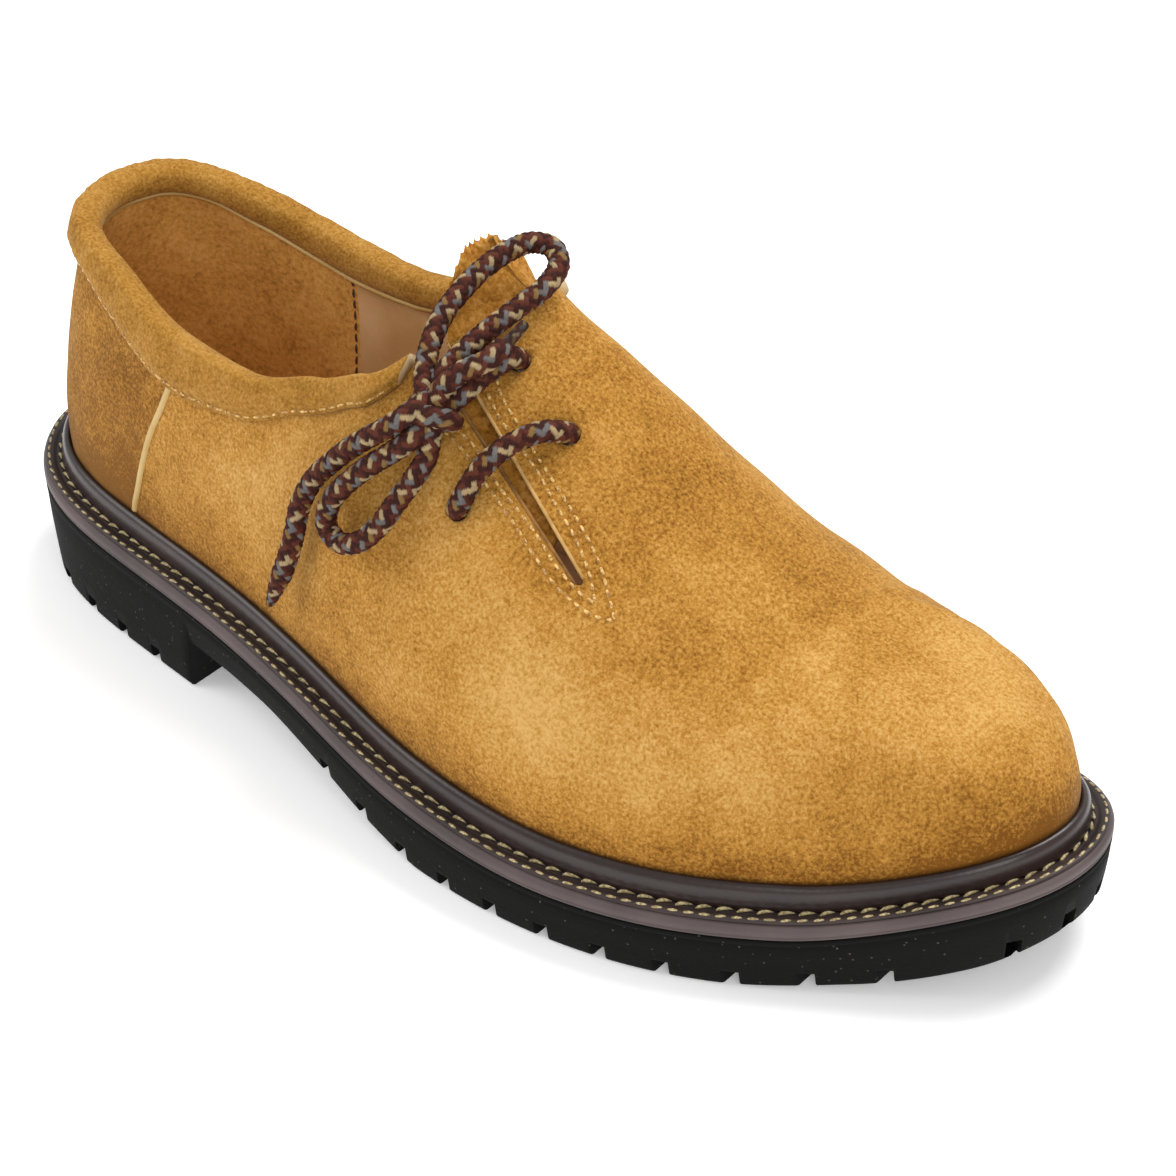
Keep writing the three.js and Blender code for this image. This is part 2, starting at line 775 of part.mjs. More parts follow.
// Raised piping over a heel panel seam
function pipingGeometry(side) {
  const from = pipingLine[0].share;
  const to = pipingLine[pipingLine.length - 1].share;
  const sections = stationRun(from, to, 12).map((share) => {
    const station = tableAt(pipingLine, 'share', 'at', share, true);
    const centre = offPoint(side, station, share, gap);
    const out = lastNormal(side, station, share);
    const ahead = lastPoint(side, tableAt(pipingLine, 'share', 'at', share + 0.01, true), share + 0.01);
    const run = ahead.sub(lastPoint(side, station, share)).normalize();
    const across = out.clone().cross(run).normalize();
    const spot = (wide, high) => centre.clone()
      .addScaledVector(across, wide * pipingWidth)
      .addScaledVector(out, high * pipingHeight);
    return [spot(-0.5, 0), spot(-0.35, 0.8), spot(0, 1), spot(0.35, 0.8), spot(0.5, 0), spot(0, 0)];
  });
  return sweep(sections, false);
}

// Tongue under the throat, with a pinked upper edge that stands above the vamp
function tongueGeometry() {
  const across = stationRun(-1, 1, 32);
  const inside = upperWall + tongueGap;
  const spot = (station, column, depth) => {
    const side = column < 0 ? -1 : 1;
    const reach = tableAt(tongueSides, 'at', column < 0 ? 'lateral' : 'medial', station);
    const share = 1 - (1 - reach) * Math.abs(column);
    return { point: offPoint(side, station, share, -depth), out: lastNormal(side, station, share) };
  };
  const stand = (column, i, depth, share) => {
    const base = spot(tongueStandStation, column, depth);
    const ahead = spot(tongueStandStation + 0.06, column, depth);
    const back = base.point.clone().sub(ahead.point).normalize();
    const pink = i % 2 === 0 ? 0 : pinkDepth;
    const length = (tableAt(tongueStand, 'across', 'length', column) - pink) * share;
    const lift = 0.45 * share;
    const way = back.addScaledVector(upward, lift).normalize();
    return base.point.addScaledVector(way, length);
  };
  const rowsAt = (depth) => [
    ...stationRun(tongueFrontStation, tongueStandStation, 6)
      .map((station) => across.map((column) => spot(station, column, depth).point)),
    ...[0.5, 1].map((share) => across.map((column, i) => stand(column, i, depth, share))),
  ];
  return thickSheet(rowsAt(inside), rowsAt(inside + tongueThick));
}

// Round lace along hand-placed points
const laceStep = laceDiameter;
const laceSides = 8;
function laceGeometry(points) {
  const route = new THREE.CatmullRomCurve3(points.map((shares) => placeOf(...shares)));
  const steps = Math.round(route.getLength() / laceStep);
  const section = new THREE.Shape();
  for (let i = 0; i <= laceSides; i += 1) {
    const angle = (2 * Math.PI * (i + 0.5)) / laceSides;
    const x = (Math.cos(angle) * laceDiameter) / 2;
    const y = (Math.sin(angle) * laceDiameter) / 2;
    if (i === 0) {
      section.moveTo(x, y);
    } else {
      section.lineTo(x, y);
    }
  }
  return new THREE.ExtrudeGeometry(section, { steps, extrudePath: route, bevelEnabled: false });
}

function knotGeometry() {
  const ball = new THREE.SphereGeometry(0.5, 14, 10);
  ball.scale(knotSize.length, knotSize.width, knotSize.height);
  const way = new THREE.Quaternion();
  way.setFromUnitVectors(new THREE.Vector3(1, 0, 0), knotWay.clone().normalize());
  return ball.applyQuaternion(way).translate(knotCentre.x, knotCentre.y, knotCentre.z);
}

// Lace routes, chosen by hand: bars over the slit, then loops and ends as they lie on the shoe.
// Shares of the sole's length, half the ball width and the instep height.
const laceRoutes = {
  lace_bar_lower: [
    [0.5794, -0.2052, 0.8658], [0.5765, -0.2845, 0.8702], [0.568, -0.3672, 0.8632],
    [0.5595, -0.4397, 0.8439], [0.5529, -0.5034, 0.814], [0.549, -0.55, 0.7825],
    [0.5461, -0.5845, 0.7509],
  ],
  lace_bar_upper: [
    [0.5281, -0.1086, 0.9553], [0.5301, -0.1759, 0.9605], [0.5281, -0.2466, 0.9561],
    [0.5252, -0.3172, 0.9447], [0.5225, -0.3724, 0.9316],
  ],
  lace_end_lower: [
    [0.5007, -0.5759, 0.9061], [0.4886, -0.6259, 0.8754], [0.4667, -0.6586, 0.8289],
    [0.4405, -0.6793, 0.7614], [0.4203, -0.6966, 0.6956], [0.4118, -0.7241, 0.6404],
    [0.4098, -0.7552, 0.5842], [0.4072, -0.7828, 0.536], [0.398, -0.7966, 0.4693],
    [0.3843, -0.7966, 0.3904],
  ],
  lace_loop_lower: [
    [0.5062, -0.5897, 0.8623], [0.4935, -0.6379, 0.8281], [0.4765, -0.681, 0.7877],
    [0.4575, -0.7241, 0.7325], [0.4464, -0.7517, 0.6807], [0.4477, -0.7724, 0.6421],
    [0.4621, -0.7897, 0.6263], [0.4817, -0.7828, 0.6482], [0.4961, -0.7448, 0.693],
    [0.5052, -0.6862, 0.7447], [0.5124, -0.6276, 0.7895], [0.5163, -0.5793, 0.8263],
  ],
  lace_end_upper: [
    [0.5121, -0.4569, 0.9412], [0.5222, -0.4034, 0.9754], [0.534, -0.3172, 0.9947],
    [0.5359, -0.2172, 1.0105], [0.5333, -0.1052, 1.0211],
  ],
  lace_loop_upper: [
    [0.4954, -0.4552, 0.9228], [0.4833, -0.3603, 0.9667], [0.4771, -0.25, 1.0088],
    [0.4758, -0.1293, 1.0404], [0.4778, -0.0086, 1.0649], [0.483, 0.1034, 1.0842],
    [0.4922, 0.1966, 1.093], [0.5059, 0.2345, 1.086], [0.5176, 0.1966, 1.0667],
    [0.5209, 0.1034, 1.0474], [0.5176, 0, 1.0298], [0.5124, -0.1034, 1.0123],
    [0.5078, -0.2069, 0.993], [0.5042, -0.3034, 0.9719], [0.5026, -0.3793, 0.9509],
  ],
};

const suede = () => new THREE.MeshStandardMaterial({ color: 0xc68a3c, roughness: 0.95, metalness: 0 });
const rubber = () => new THREE.MeshStandardMaterial({ color: 0x1c1c1a, roughness: 0.8, metalness: 0 });
const midsoleBrown = () => new THREE.MeshStandardMaterial({ color: 0x5a4a48, roughness: 0.6, metalness: 0 });
const weltBrown = () => new THREE.MeshStandardMaterial({ color: 0x3a2a26, roughness: 0.4, metalness: 0 });
const pipingYellow = () => new THREE.MeshStandardMaterial({ color: 0xd8be7a, roughness: 0.6, metalness: 0 });
const insoleTan = () => new THREE.MeshStandardMaterial({ color: 0xc9a27e, roughness: 0.6, metalness: 0 });
const laceBraid = () => new THREE.MeshStandardMaterial({ color: 0x5a2a1e, roughness: 0.9, metalness: 0 });

const shoe = new THREE.Group();
function addPiece(name, geometry, material) {
  const mesh = new THREE.Mesh(geometry, material);
  mesh.name = name;
  shoe.add(mesh);
}

addPiece('outsole', outsoleGeometry(), rubber());
addPiece('midsole', midsoleGeometry(), midsoleBrown());
addPiece('welt', weltGeometry(), weltBrown());
addPiece('insole', insoleGeometry(), insoleTan());
addPiece('upper', upperGeometry(), suede());
addPiece('tongue', tongueGeometry(), suede());
addPiece('collar_band', collarBandGeometry(), suede());
addPiece('piping_lateral', pipingGeometry(-1), pipingYellow());
addPiece('piping_medial', pipingGeometry(1), pipingYellow());
Object.entries(laceRoutes).forEach(([name, points]) => {
  addPiece(name, laceGeometry(points), laceBraid());
});
addPiece('lace_knot', knotGeometry(), laceBraid());

// The origin is under the middle of the sole
const soleBox = new THREE.Box3().setFromObject(shoe.children[0]);
const middle = soleBox.getCenter(new THREE.Vector3());
shoe.position.set(-middle.x, -middle.y, 0);
shoe.updateMatrixWorld(true);

export default shoe;
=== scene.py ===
# %% [markdown]
# # A suede haferl shoe
# This lesson dresses one right haferl shoe: an Alpine work shoe with a rolled collar and a lacing that
# sits on the outer side of the vamp. The plain solids of the shoe are loaded first. Every visible piece
# is then modelled again at full detail in the same place, so the frame stays the measure for all sizes.

# %% Load the frame and the tools
import math

import bmesh
import bpy
import numpy as np
from mathutils import Matrix, Vector
from mathutils.bvhtree import BVHTree


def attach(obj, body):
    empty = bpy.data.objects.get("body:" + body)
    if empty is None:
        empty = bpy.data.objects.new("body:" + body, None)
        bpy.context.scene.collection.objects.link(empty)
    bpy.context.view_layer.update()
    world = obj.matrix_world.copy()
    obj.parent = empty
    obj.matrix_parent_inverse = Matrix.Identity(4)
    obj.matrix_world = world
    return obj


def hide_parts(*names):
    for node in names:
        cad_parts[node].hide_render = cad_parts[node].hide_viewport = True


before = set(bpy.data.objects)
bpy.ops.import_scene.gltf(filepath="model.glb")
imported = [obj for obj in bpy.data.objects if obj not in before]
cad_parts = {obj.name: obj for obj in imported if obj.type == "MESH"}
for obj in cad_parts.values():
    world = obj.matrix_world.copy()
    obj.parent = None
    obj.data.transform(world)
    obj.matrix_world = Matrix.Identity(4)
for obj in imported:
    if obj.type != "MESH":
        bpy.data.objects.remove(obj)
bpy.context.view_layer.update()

# %% [markdown]
# ## Named sizes
# A shoemaker works from a few sizes of the last: length, ball width, instep and heel height. The
# tables in this cell hold shares of them, and angles, so sole and upper can be resized from here.
# Everything is worked out in millimetres, with X from heel to toe. A mesh is made in metres.

# %% Sizes of the last and the shoe, in millimetres
SOLE_LENGTH = 306.0
HALF_BALL = 58.0
INSTEP_HEIGHT = 114.0
HEEL_HEIGHT = 27.5
ARCH_RISE = 13.5
TOE_SPRING = 14.5
UPPER_WALL = 2.4
MIDSOLE_THICK = 3.9
TONGUE_THICK = 2.0
TONGUE_GAP = 1.3
LACE_DIAMETER = 4.6
GAP = 0.3
FEATHER_INSET = 8.0
FEATHER_RISE = MIDSOLE_THICK + GAP
HEEL_END = 80.0
BREAST_LEAN = 1.4
SIDES = {-1: "lateral", 1: "medial"}
TOE_STATION = 9
THROAT_STATION = 4
POLE_STATION = 6

OUTLINE = {
    "x": (0, 0.044, 0.147, 0.317, 0.487, 0.637, 0.775, 0.889, 0.971, 1),
    "lateral": (0.02, -0.4, -0.62, -0.767, -0.966, -1.043, -0.897, -0.56, -0.233, 0.14),
    "medial": (0.02, 0.425, 0.64, 0.62, 0.724, 0.905, 0.966, 0.76, 0.5, 0.14),
}
RUBBER_LINE = {
    "x": (0, 0.118, 0.258, 0.395, 0.546, 0.693, 0.843, 1),
    "z": (1, 0.938, 0.902, 0.822, 0.611, 0.509, 0.545, 1.018),
}
UNDERSIDE = {
    "x": (0.264, 0.36, 0.44, 0.516, 0.562, 0.8, 0.889, 0.954, 1),
    "arch": (1, 0.93, 0.63, 0.19, 0, 0, 0, 0, 0),
    "spring": (0, 0, 0, 0, 0, 0, 0.18, 0.55, 1),
}
CREST = {
    "at": (0, 0.6, 1, 2, 2.6, 3, 3.3, 3.6, 3.8, 4, 4.5, 5, 5.5, 6),
    "x": (0.082, 0.088, 0.105, 0.167, 0.245, 0.317, 0.392, 0.461, 0.489, 0.513, 0.575, 0.643, 0.722, 0.775),
    "z": (0.921, 0.918, 0.908, 0.873, 0.825, 0.855, 0.985, 1.06, 1.04, 1, 0.9, 0.775, 0.65, 0.592),
    "lateral": (0.034, -0.138, -0.259, -0.379, -0.455, -0.43, -0.22, 0.07) + (0.172,) * 6,
    "medial": (0.034, 0.207, 0.328, 0.448, 0.52, 0.505, 0.43, 0.27) + (0.172,) * 6,
}
RIM_SHARE = {
    "at": (0, 1, 2, 2.6, 3, 3.3, 3.5, 3.65, 3.8, 3.9, 4),
    "share": (0.955, 0.955, 0.948, 0.93, 0.83, 0.725, 0.672, 0.655, 0.7, 0.8, 1),
}
RIM_LOW_STATION = 3.03
RIM_LIFT = 0.013
RIM_STEPS = (-0.24, -0.16, -0.08, 0, 0.08, 0.16, 0.24)
FULLNESS = {
    "at": (0, 1, 2, 3, 3.3, 3.6, 3.8, 4, 5, 6, 7.5, 9),
    "lateral": (72, 76, 76, 68, 52, 26, 8, 0, 0, 0, 0, 0),
    "medial": (72, 76, 78, 76, 66, 36, 12, 0, 0, 0, 0, 0),
    "low": (0.3, 0.3, 0.3, 0.34, 0.38, 0.44, 0.48, 0.5, 0.58, 0.7, 0.82, 0.86),
    "high": (0.3, 0.3, 0.3, 0.3, 0.34, 0.42, 0.48, 0.5, 0.5, 0.46, 0.5, 0.52),
    "lean": (3, 4, 6, 7, 8, 8, 8, 8, 8, 8, 8, 7),
}

# %% [markdown]
# ## Curves through few rows
# A last is smooth, so a table's rows are joined by a monotone cubic, which never bulges past its
# rows. The sole's outline is closed, so it runs through its rows as a closed cubic B-spline instead.
# NumPy handles whole grids of points at once, which keeps a fine mesh quick to make.


# %% Read a table at any place
def hermite(f, width, first, last, first_slope, last_slope):
    """Cubic between two rows a width apart, with f from 0 to 1 and a slope at each row."""
    return (
        (1 + 2 * f) * (1 - f) ** 2 * first
        + f * (1 - f) ** 2 * width * first_slope
        + f * f * (3 - 2 * f) * last
        + f * f * (f - 1) * width * last_slope
    )


def table_at(table, column, place, key="at", sloped_ends=False):
    xs = np.asarray(table[key], float)
    ys = np.asarray(table[column], float)
    at = np.clip(np.asarray(place, float), xs[0], xs[-1])
    step = np.diff(xs)
    rise = np.diff(ys) / step
    slope = np.zeros(len(xs))
    if sloped_ends:
        slope[0] = rise[0]
        slope[-1] = rise[-1]
    for i in range(1, len(xs) - 1):
        before, after = rise[i - 1], rise[i]
        if before * after > 0:
            a = 2 * step[i] + step[i - 1]
            b = step[i] + 2 * step[i - 1]
            slope[i] = (a + b) / (a / before + b / after)
    row = np.clip(np.searchsorted(xs, at, side="right") - 1, 0, len(xs) - 2)
    width = step[row]
    return hermite((at - xs[row]) / width, width, ys[row], ys[row + 1], slope[row], slope[row + 1])


# %% The closed outline of the sole
def outline_controls(passes=40):
    lateral = [(x * SOLE_LENGTH, y * HALF_BALL) for x, y in zip(OUTLINE["x"], OUTLINE["lateral"])]
    medial = [(x * SOLE_LENGTH, y * HALF_BALL) for x, y in zip(OUTLINE["x"], OUTLINE["medial"])]
    rows = np.array(lateral + medial[-2:0:-1])
    controls = rows.copy()
    for _ in range(passes):
        controls = (6 * rows - np.roll(controls, 1, 0) - np.roll(controls, -1, 0)) / 4
    return controls


CONTROLS = outline_controls()


def outline_at(side, station):
    """Place on the outline and the way out, for side -1 (lateral) or 1 and a station from heel to toe."""
    station = np.asarray(station, float)
    place = station if side < 0 else len(CONTROLS) - station
    base = np.floor(place).astype(int)
    f = (place - base)[..., None]
    near = [CONTROLS[(base - 1 + i) % len(CONTROLS)] for i in range(4)]
    weights = ((1 - f) ** 3, 3 * f**3 - 6 * f * f + 4, -3 * f**3 + 3 * f * f + 3 * f + 1, f**3)
    slopes = (-((1 - f) ** 2), 3 * f * f - 4 * f, -3 * f * f + 2 * f + 1, f * f)
    point = sum(w * p for w, p in zip(weights, near)) / 6
    tangent = sum(s * p for s, p in zip(slopes, near)) / 2
    out = np.stack([tangent[..., 1], -tangent[..., 0]], -1)
    return point, unit(out)


def unit(vectors):
    return vectors / np.maximum(np.linalg.norm(vectors, axis=-1, keepdims=True), 1e-12)


def rubber_top(x):
    return HEEL_HEIGHT * table_at(RUBBER_LINE, "z", np.asarray(x) / SOLE_LENGTH, "x", True)


def edge_point(side, station, inset, rise):
    point, out = outline_at(side, station)
    flat = point - out * inset
    return np.concatenate([flat, (rubber_top(flat[..., 0]) + rise)[..., None]], -1)


ring = outline_at(-1, np.linspace(0, 18, 721)[:-1])[0]
SHIFT = np.array([-ring[:, 0].max() / 2, -(ring[:, 1].max() + ring[:, 1].min()) / 2, 0])
print("outline width in mm:", np.ptp(ring[:, 1]).round(1), "shift to the frame:", SHIFT.round(2))


# %% [markdown]
# ## The last's surface
# The upper is one skin over the last. Each rib starts upright at the welt and arrives at the collar
# or at the ridge of the instep, and is a Bezier curve between. A place on the skin is a side, a
# station along the shoe and a share of its rib, so panels, seams and stitches use the same numbers.

# %% Ribs of the last
def crest_point(side, station):
    at = np.minimum(station, POLE_STATION)
    x = table_at(CREST, "x", at) * SOLE_LENGTH
    y = table_at(CREST, SIDES[side], at, sloped_ends=True) * HALF_BALL
    return np.stack([x, y, table_at(CREST, "z", at) * INSTEP_HEIGHT], -1)


def ridge_slope(side, station):
    at = np.clip(station, THROAT_STATION, POLE_STATION - 0.1)
    rise = crest_point(side, at + 0.001) - crest_point(side, at - 0.001)
    return rise[..., 2] / rise[..., 0]


def last_point(side, station, share):
    station, share = np.broadcast_arrays(np.asarray(station, float), np.asarray(share, float))
    out = outline_at(side, station)[1]
    foot = edge_point(side, station, FEATHER_INSET, FEATHER_RISE)
    top = crest_point(side, station)
    arrival = table_at(FULLNESS, SIDES[side], station)
    angle = np.radians(np.where(station < THROAT_STATION, arrival, 0))[..., None]
    lean = np.radians(table_at(FULLNESS, "lean", station))[..., None]
    zero = np.zeros(station.shape)
    outward = np.stack([out[..., 0], out[..., 1], zero], -1)
    upward = np.array([0, 0, 1.0])
    across = unit(np.stack([-out[..., 0], -out[..., 1], -out[..., 0] * ridge_slope(side, station)], -1))
    arrive = unit(across * np.cos(angle) + upward * np.sin(angle))
    leave = outward * np.sin(lean) + upward * np.cos(lean)
    height = (top - foot)[..., 2:3]
    width = np.linalg.norm((top - foot)[..., :2], axis=-1, keepdims=True)
    low = table_at(FULLNESS, "low", station)[..., None] * height
    high = table_at(FULLNESS, "high", station)[..., None] * (width * np.cos(angle) + height * np.sin(angle))
    lower = foot + leave * low
    upper = top - arrive * high
    t = share[..., None]
    return foot * (1 - t) ** 3 + 3 * lower * t * (1 - t) ** 2 + 3 * upper * t * t * (1 - t) + top * t**3


def rim_at(station):
    """Share of the rib that the rim reaches, evened out behind the throat."""
    station = np.minimum(station, THROAT_STATION)
    plain = table_at(RIM_SHARE, "share", station)
    near = [table_at(RIM_SHARE, "share", station + step) for step in RIM_STEPS]
    blend = np.clip((3.6 - station) / 0.2, 0, 1) * np.clip((station - 2.2) / 0.3, 0, 1)
    lift = RIM_LIFT * np.exp(-(((station - RIM_LOW_STATION) / 0.1) ** 2))
    return plain * (1 - blend) + np.mean(near, axis=0) * blend + lift


def side_normal(side, station, share, probe=0.002):
    k = np.clip(station, probe, TOE_STATION - probe)
    s = np.clip(share, probe, 0.99)
    along = last_point(side, k + probe, s) - last_point(side, k - probe, s)
    up = last_point(side, k, s + probe) - last_point(side, k, s - probe)
    return unit(np.cross(along, up) * -side)


def last_normal(side, station, share):
    station, share = np.broadcast_arrays(np.asarray(station, float), np.asarray(share, float))
    normal = side_normal(side, station, share)
    both = unit(normal + side_normal(-side, station, share))
    at_end = ((station == 0) | (station == TOE_STATION))[..., None]
    normal = np.where(at_end, both, normal)
    zero = np.zeros(station.shape)
    ridge = unit(np.stack([-ridge_slope(side, station), zero, zero + 1], -1))
    blend = (np.clip((share - 0.97) / 0.03, 0, 1) * (station >= THROAT_STATION))[..., None]
    return unit(normal * (1 - blend) + ridge * blend)


def face_point(side, station, out, rise):
    """Point beside the upper's face at a rise above the rubber, out is level with the ground."""
    station = np.asarray(station, float)
    low = np.zeros(station.shape)
    high = low + 0.5
    for _ in range(20):
        middle = (low + high) / 2
        point = last_point(side, station, middle)
        below = point[..., 2] - rubber_top(point[..., 0]) < rise
        low = np.where(below, middle, low)
        high = np.where(below, high, middle)
    point = last_point(side, station, low)
    flat = point[..., :2] + outline_at(side, station)[1] * out
    return np.concatenate([flat, (rubber_top(flat[..., 0]) + rise)[..., None]], -1)


# %% [markdown]
# ## Meshes and materials: small helpers
# Most pieces here are grids: rows of points that follow the shoe. One function turns points and faces
# into a named object that rides with the shoe. One function adds a
# shader node with its settings and links, and one turns a colour into linear light.

# %% Helpers for meshes
def grid_faces(rows, columns, start=0, close_rows=False, close_columns=False, flip=False):
    r = np.arange(rows if close_rows else rows - 1)
    c = np.arange(columns if close_columns else columns - 1)
    r, c = np.meshgrid(r, c, indexing="ij")
    r2 = (r + 1) % rows
    c2 = (c + 1) % columns
    quads = np.stack([r * columns + c, r * columns + c2, r2 * columns + c2, r2 * columns + c], -1)
    quads = quads.reshape(-1, 4) + start
    return quads[:, ::-1] if flip else quads


def capped_tube(rows, corners, flip=False):
    """Faces of a tube that is closed round its section, with a cap at each end."""
    faces = [list(face) for face in grid_faces(rows, corners, close_columns=True, flip=flip)]
    first = list(range(corners))
    last = list(range((rows - 1) * corners, rows * corners))
    return faces + ([first, last[::-1]] if flip else [first[::-1], last])


def in_metres(points_mm):
    """Points of the shoe in millimetres, turned to the frame's metres."""
    return (np.asarray(points_mm, float) + SHIFT) * 0.001


def put_in_scene(name, data):
    thing = bpy.data.objects.new(name, data)
    bpy.context.scene.collection.objects.link(thing)
    return thing


def mesh_object(name, metres, faces, material=None):
    mesh = bpy.data.meshes.new(name)
    mesh.from_pydata(metres.tolist(), [], [list(map(int, face)) for face in faces])
    if material:
        mesh.materials.append(material)
    return put_in_scene(name, mesh)


def make_piece(name, points_mm, faces, material, slot, stands_for=()):
    piece = mesh_object(name, in_metres(points_mm), faces, material)
    mesh = piece.data
    mesh.polygons.foreach_set("use_smooth", [True] * len(mesh.polygons))
    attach(piece, "root")
    if stands_for:
        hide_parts(*stands_for)
    print(name, "has", len(mesh.polygons), "faces")
    return piece


MERGE_DISTANCE = 0.02e-3
LEAST_EDGE = 1e-7


def clean_mesh(piece):
    """Joins points that fall together, drops faces without area and turns all faces outward."""
    work = bmesh.new()
    work.from_mesh(piece.data)
    bmesh.ops.remove_doubles(work, verts=work.verts, dist=MERGE_DISTANCE)
    bmesh.ops.dissolve_degenerate(work, edges=work.edges, dist=LEAST_EDGE)
    bmesh.ops.recalc_face_normals(work, faces=work.faces)
    work.to_mesh(piece.data)
    work.free()


def clean_piece(*parts, **more):
    piece = make_piece(*parts, **more)
    clean_mesh(piece)
    return piece


# %% Helpers for materials
def linear(hex_colour):
    """sRGB hex to the linear numbers that a shader takes."""
    parts = [int(hex_colour[i : i + 2], 16) / 255 for i in (1, 3, 5)]
    curve = [p / 12.92 if p <= 0.04045 else ((p + 0.055) / 1.055) ** 2.4 for p in parts]
    return (*curve, 1.0)


def add(tree, kind, settings=None, **links):
    """Adds one node. settings sets its properties, sockets and colour stops, links joins its sockets."""
    node = tree.nodes.new(kind)
    for name, value in (settings or {}).items():
        if name == "stops":
            marks = node.color_ramp.elements
            for index, (place, colour) in enumerate(value):
                mark = marks[index] if index < 2 else marks.new(place)
                mark.position = place
                mark.color = linear(colour)
        elif isinstance(name, int) or name in node.inputs:
            node.inputs[name].default_value = value
        else:
            setattr(node, name, value)
    for name, source in links.items():
        socket = node.inputs[int(name[1:])] if name[1:].isdigit() else node.inputs[name.replace("_", " ")]
        tree.links.new(source, socket)
    return node


def new_material(name, **settings):
    """An empty material with its principled shader, and the shader's fixed numbers."""
    material = bpy.data.materials.new(name)
    material.use_nodes = True
    shader = material.node_tree.nodes["Principled BSDF"]
    for socket, value in settings.items():
        shader.inputs[socket.replace("_", " ")].default_value = value
    return material, material.node_tree, shader


def per_mm(size_mm):
    """Scale of a pattern whose features are that many millimetres apart, in object metres."""
    return 1000.0 / size_mm


# %% [markdown]
# ## Camera, light and floor
# The photograph is taken from the outer front side, from above, with a long lens a little off level.
# The camera is placed by its azimuth, elevation and roll around a point inside the shoe. Large soft
# lamps give the even studio light that shows the nap of suede without hard glints.

# %% Camera
TARGET = np.array([14.0, 10.5, 40.0]) * 0.001
DISTANCE = 0.745
AZIMUTH, ELEVATION, ROLL = (math.radians(a) for a in (-49.6, 35.1, -1.4))
FOCAL_PIXELS, FRAME_PIXELS, SENSOR = 3200.0, 1176.0, 36.0

back = np.array(
    [math.cos(ELEVATION) * math.cos(AZIMUTH), math.cos(ELEVATION) * math.sin(AZIMUTH), math.sin(ELEVATION)]
)
right = unit(np.cross(-back, [0, 0, 1.0]))
top = np.cross(right, -back)
rolled_right = math.cos(ROLL) * right + math.sin(ROLL) * top
rolled_top = math.cos(ROLL) * top - math.sin(ROLL) * right
camera_data = bpy.data.cameras.new("camera")
camera_data.sensor_width = SENSOR
camera_data.lens = FOCAL_PIXELS / FRAME_PIXELS * SENSOR
camera = put_in_scene("camera", camera_data)
pose = Matrix.Identity(4)
for column, axis in enumerate((rolled_right, rolled_top, back, TARGET + back * DISTANCE)):
    for row in range(3):
        pose[row][column] = axis[row]
camera.matrix_world = pose
camera_data.clip_end = 10
bpy.context.scene.camera = camera
print("lens in mm:", round(camera_data.lens, 1))


# %% Lamps, world and floor
LAMP_AIM = Vector((0, 0, 0.05))


def lamp(name, place, size, power):
    data = bpy.data.lights.new(name, "AREA")
    data.shape = "DISK"
    data.size = size
    data.energy = power
    source = put_in_scene(name, data)
    source.location = place
    source.rotation_euler = (LAMP_AIM - Vector(place)).to_track_quat("-Z", "Y").to_euler()


lamp("key", (0.1, 0.55, 1.15), 0.8, 13)
lamp("front_fill", (0.9, -0.75, 0.75), 0.9, 6)
lamp("left_fill", (-0.9, -0.6, 0.8), 0.9, 6)
world = bpy.data.worlds.new("studio")
world.use_nodes = True
sky = world.node_tree.nodes["Background"]
sky.inputs["Color"].default_value = linear("#FFFFFF")
sky.inputs["Strength"].default_value = 0.55
bpy.context.scene.world = world
bpy.context.scene.view_settings.view_transform = "Standard"

FLOOR_REACH = 6.0
studio_paper = new_material(
    "studio_paper", Base_Color=linear("#FBFBFB"), Roughness=0.9,
    Emission_Color=linear("#FFFFFF"), Emission_Strength=0.22,
)[0]
corners = FLOOR_REACH * np.array([(-1, -1, 0), (1, -1, 0), (1, 1, 0), (-1, 1, 0)])
floor = mesh_object("floor", corners, [(0, 1, 2, 3)], studio_paper)

# %% [markdown]
# ## Suede
# Suede is the split or sanded inner side of a hide. It has no gloss: fibres stand up as a nap and
# scatter light, so it looks lighter where it turns away, and brushed patches look dark or pale. The
# shader gives it a rough base with sheen, mottling at three sizes and bumps for patches and nap. The real
# fibres are about a tenth of a millimetre thick, too fine for this picture, so the nap is drawn in
# tufts of nearly a millimetre. Where suede is darker, at the welt, the toe and the seams, a value
# stored on the mesh says so.


# %% Suede materials
PATCH_SIZE = 5.5


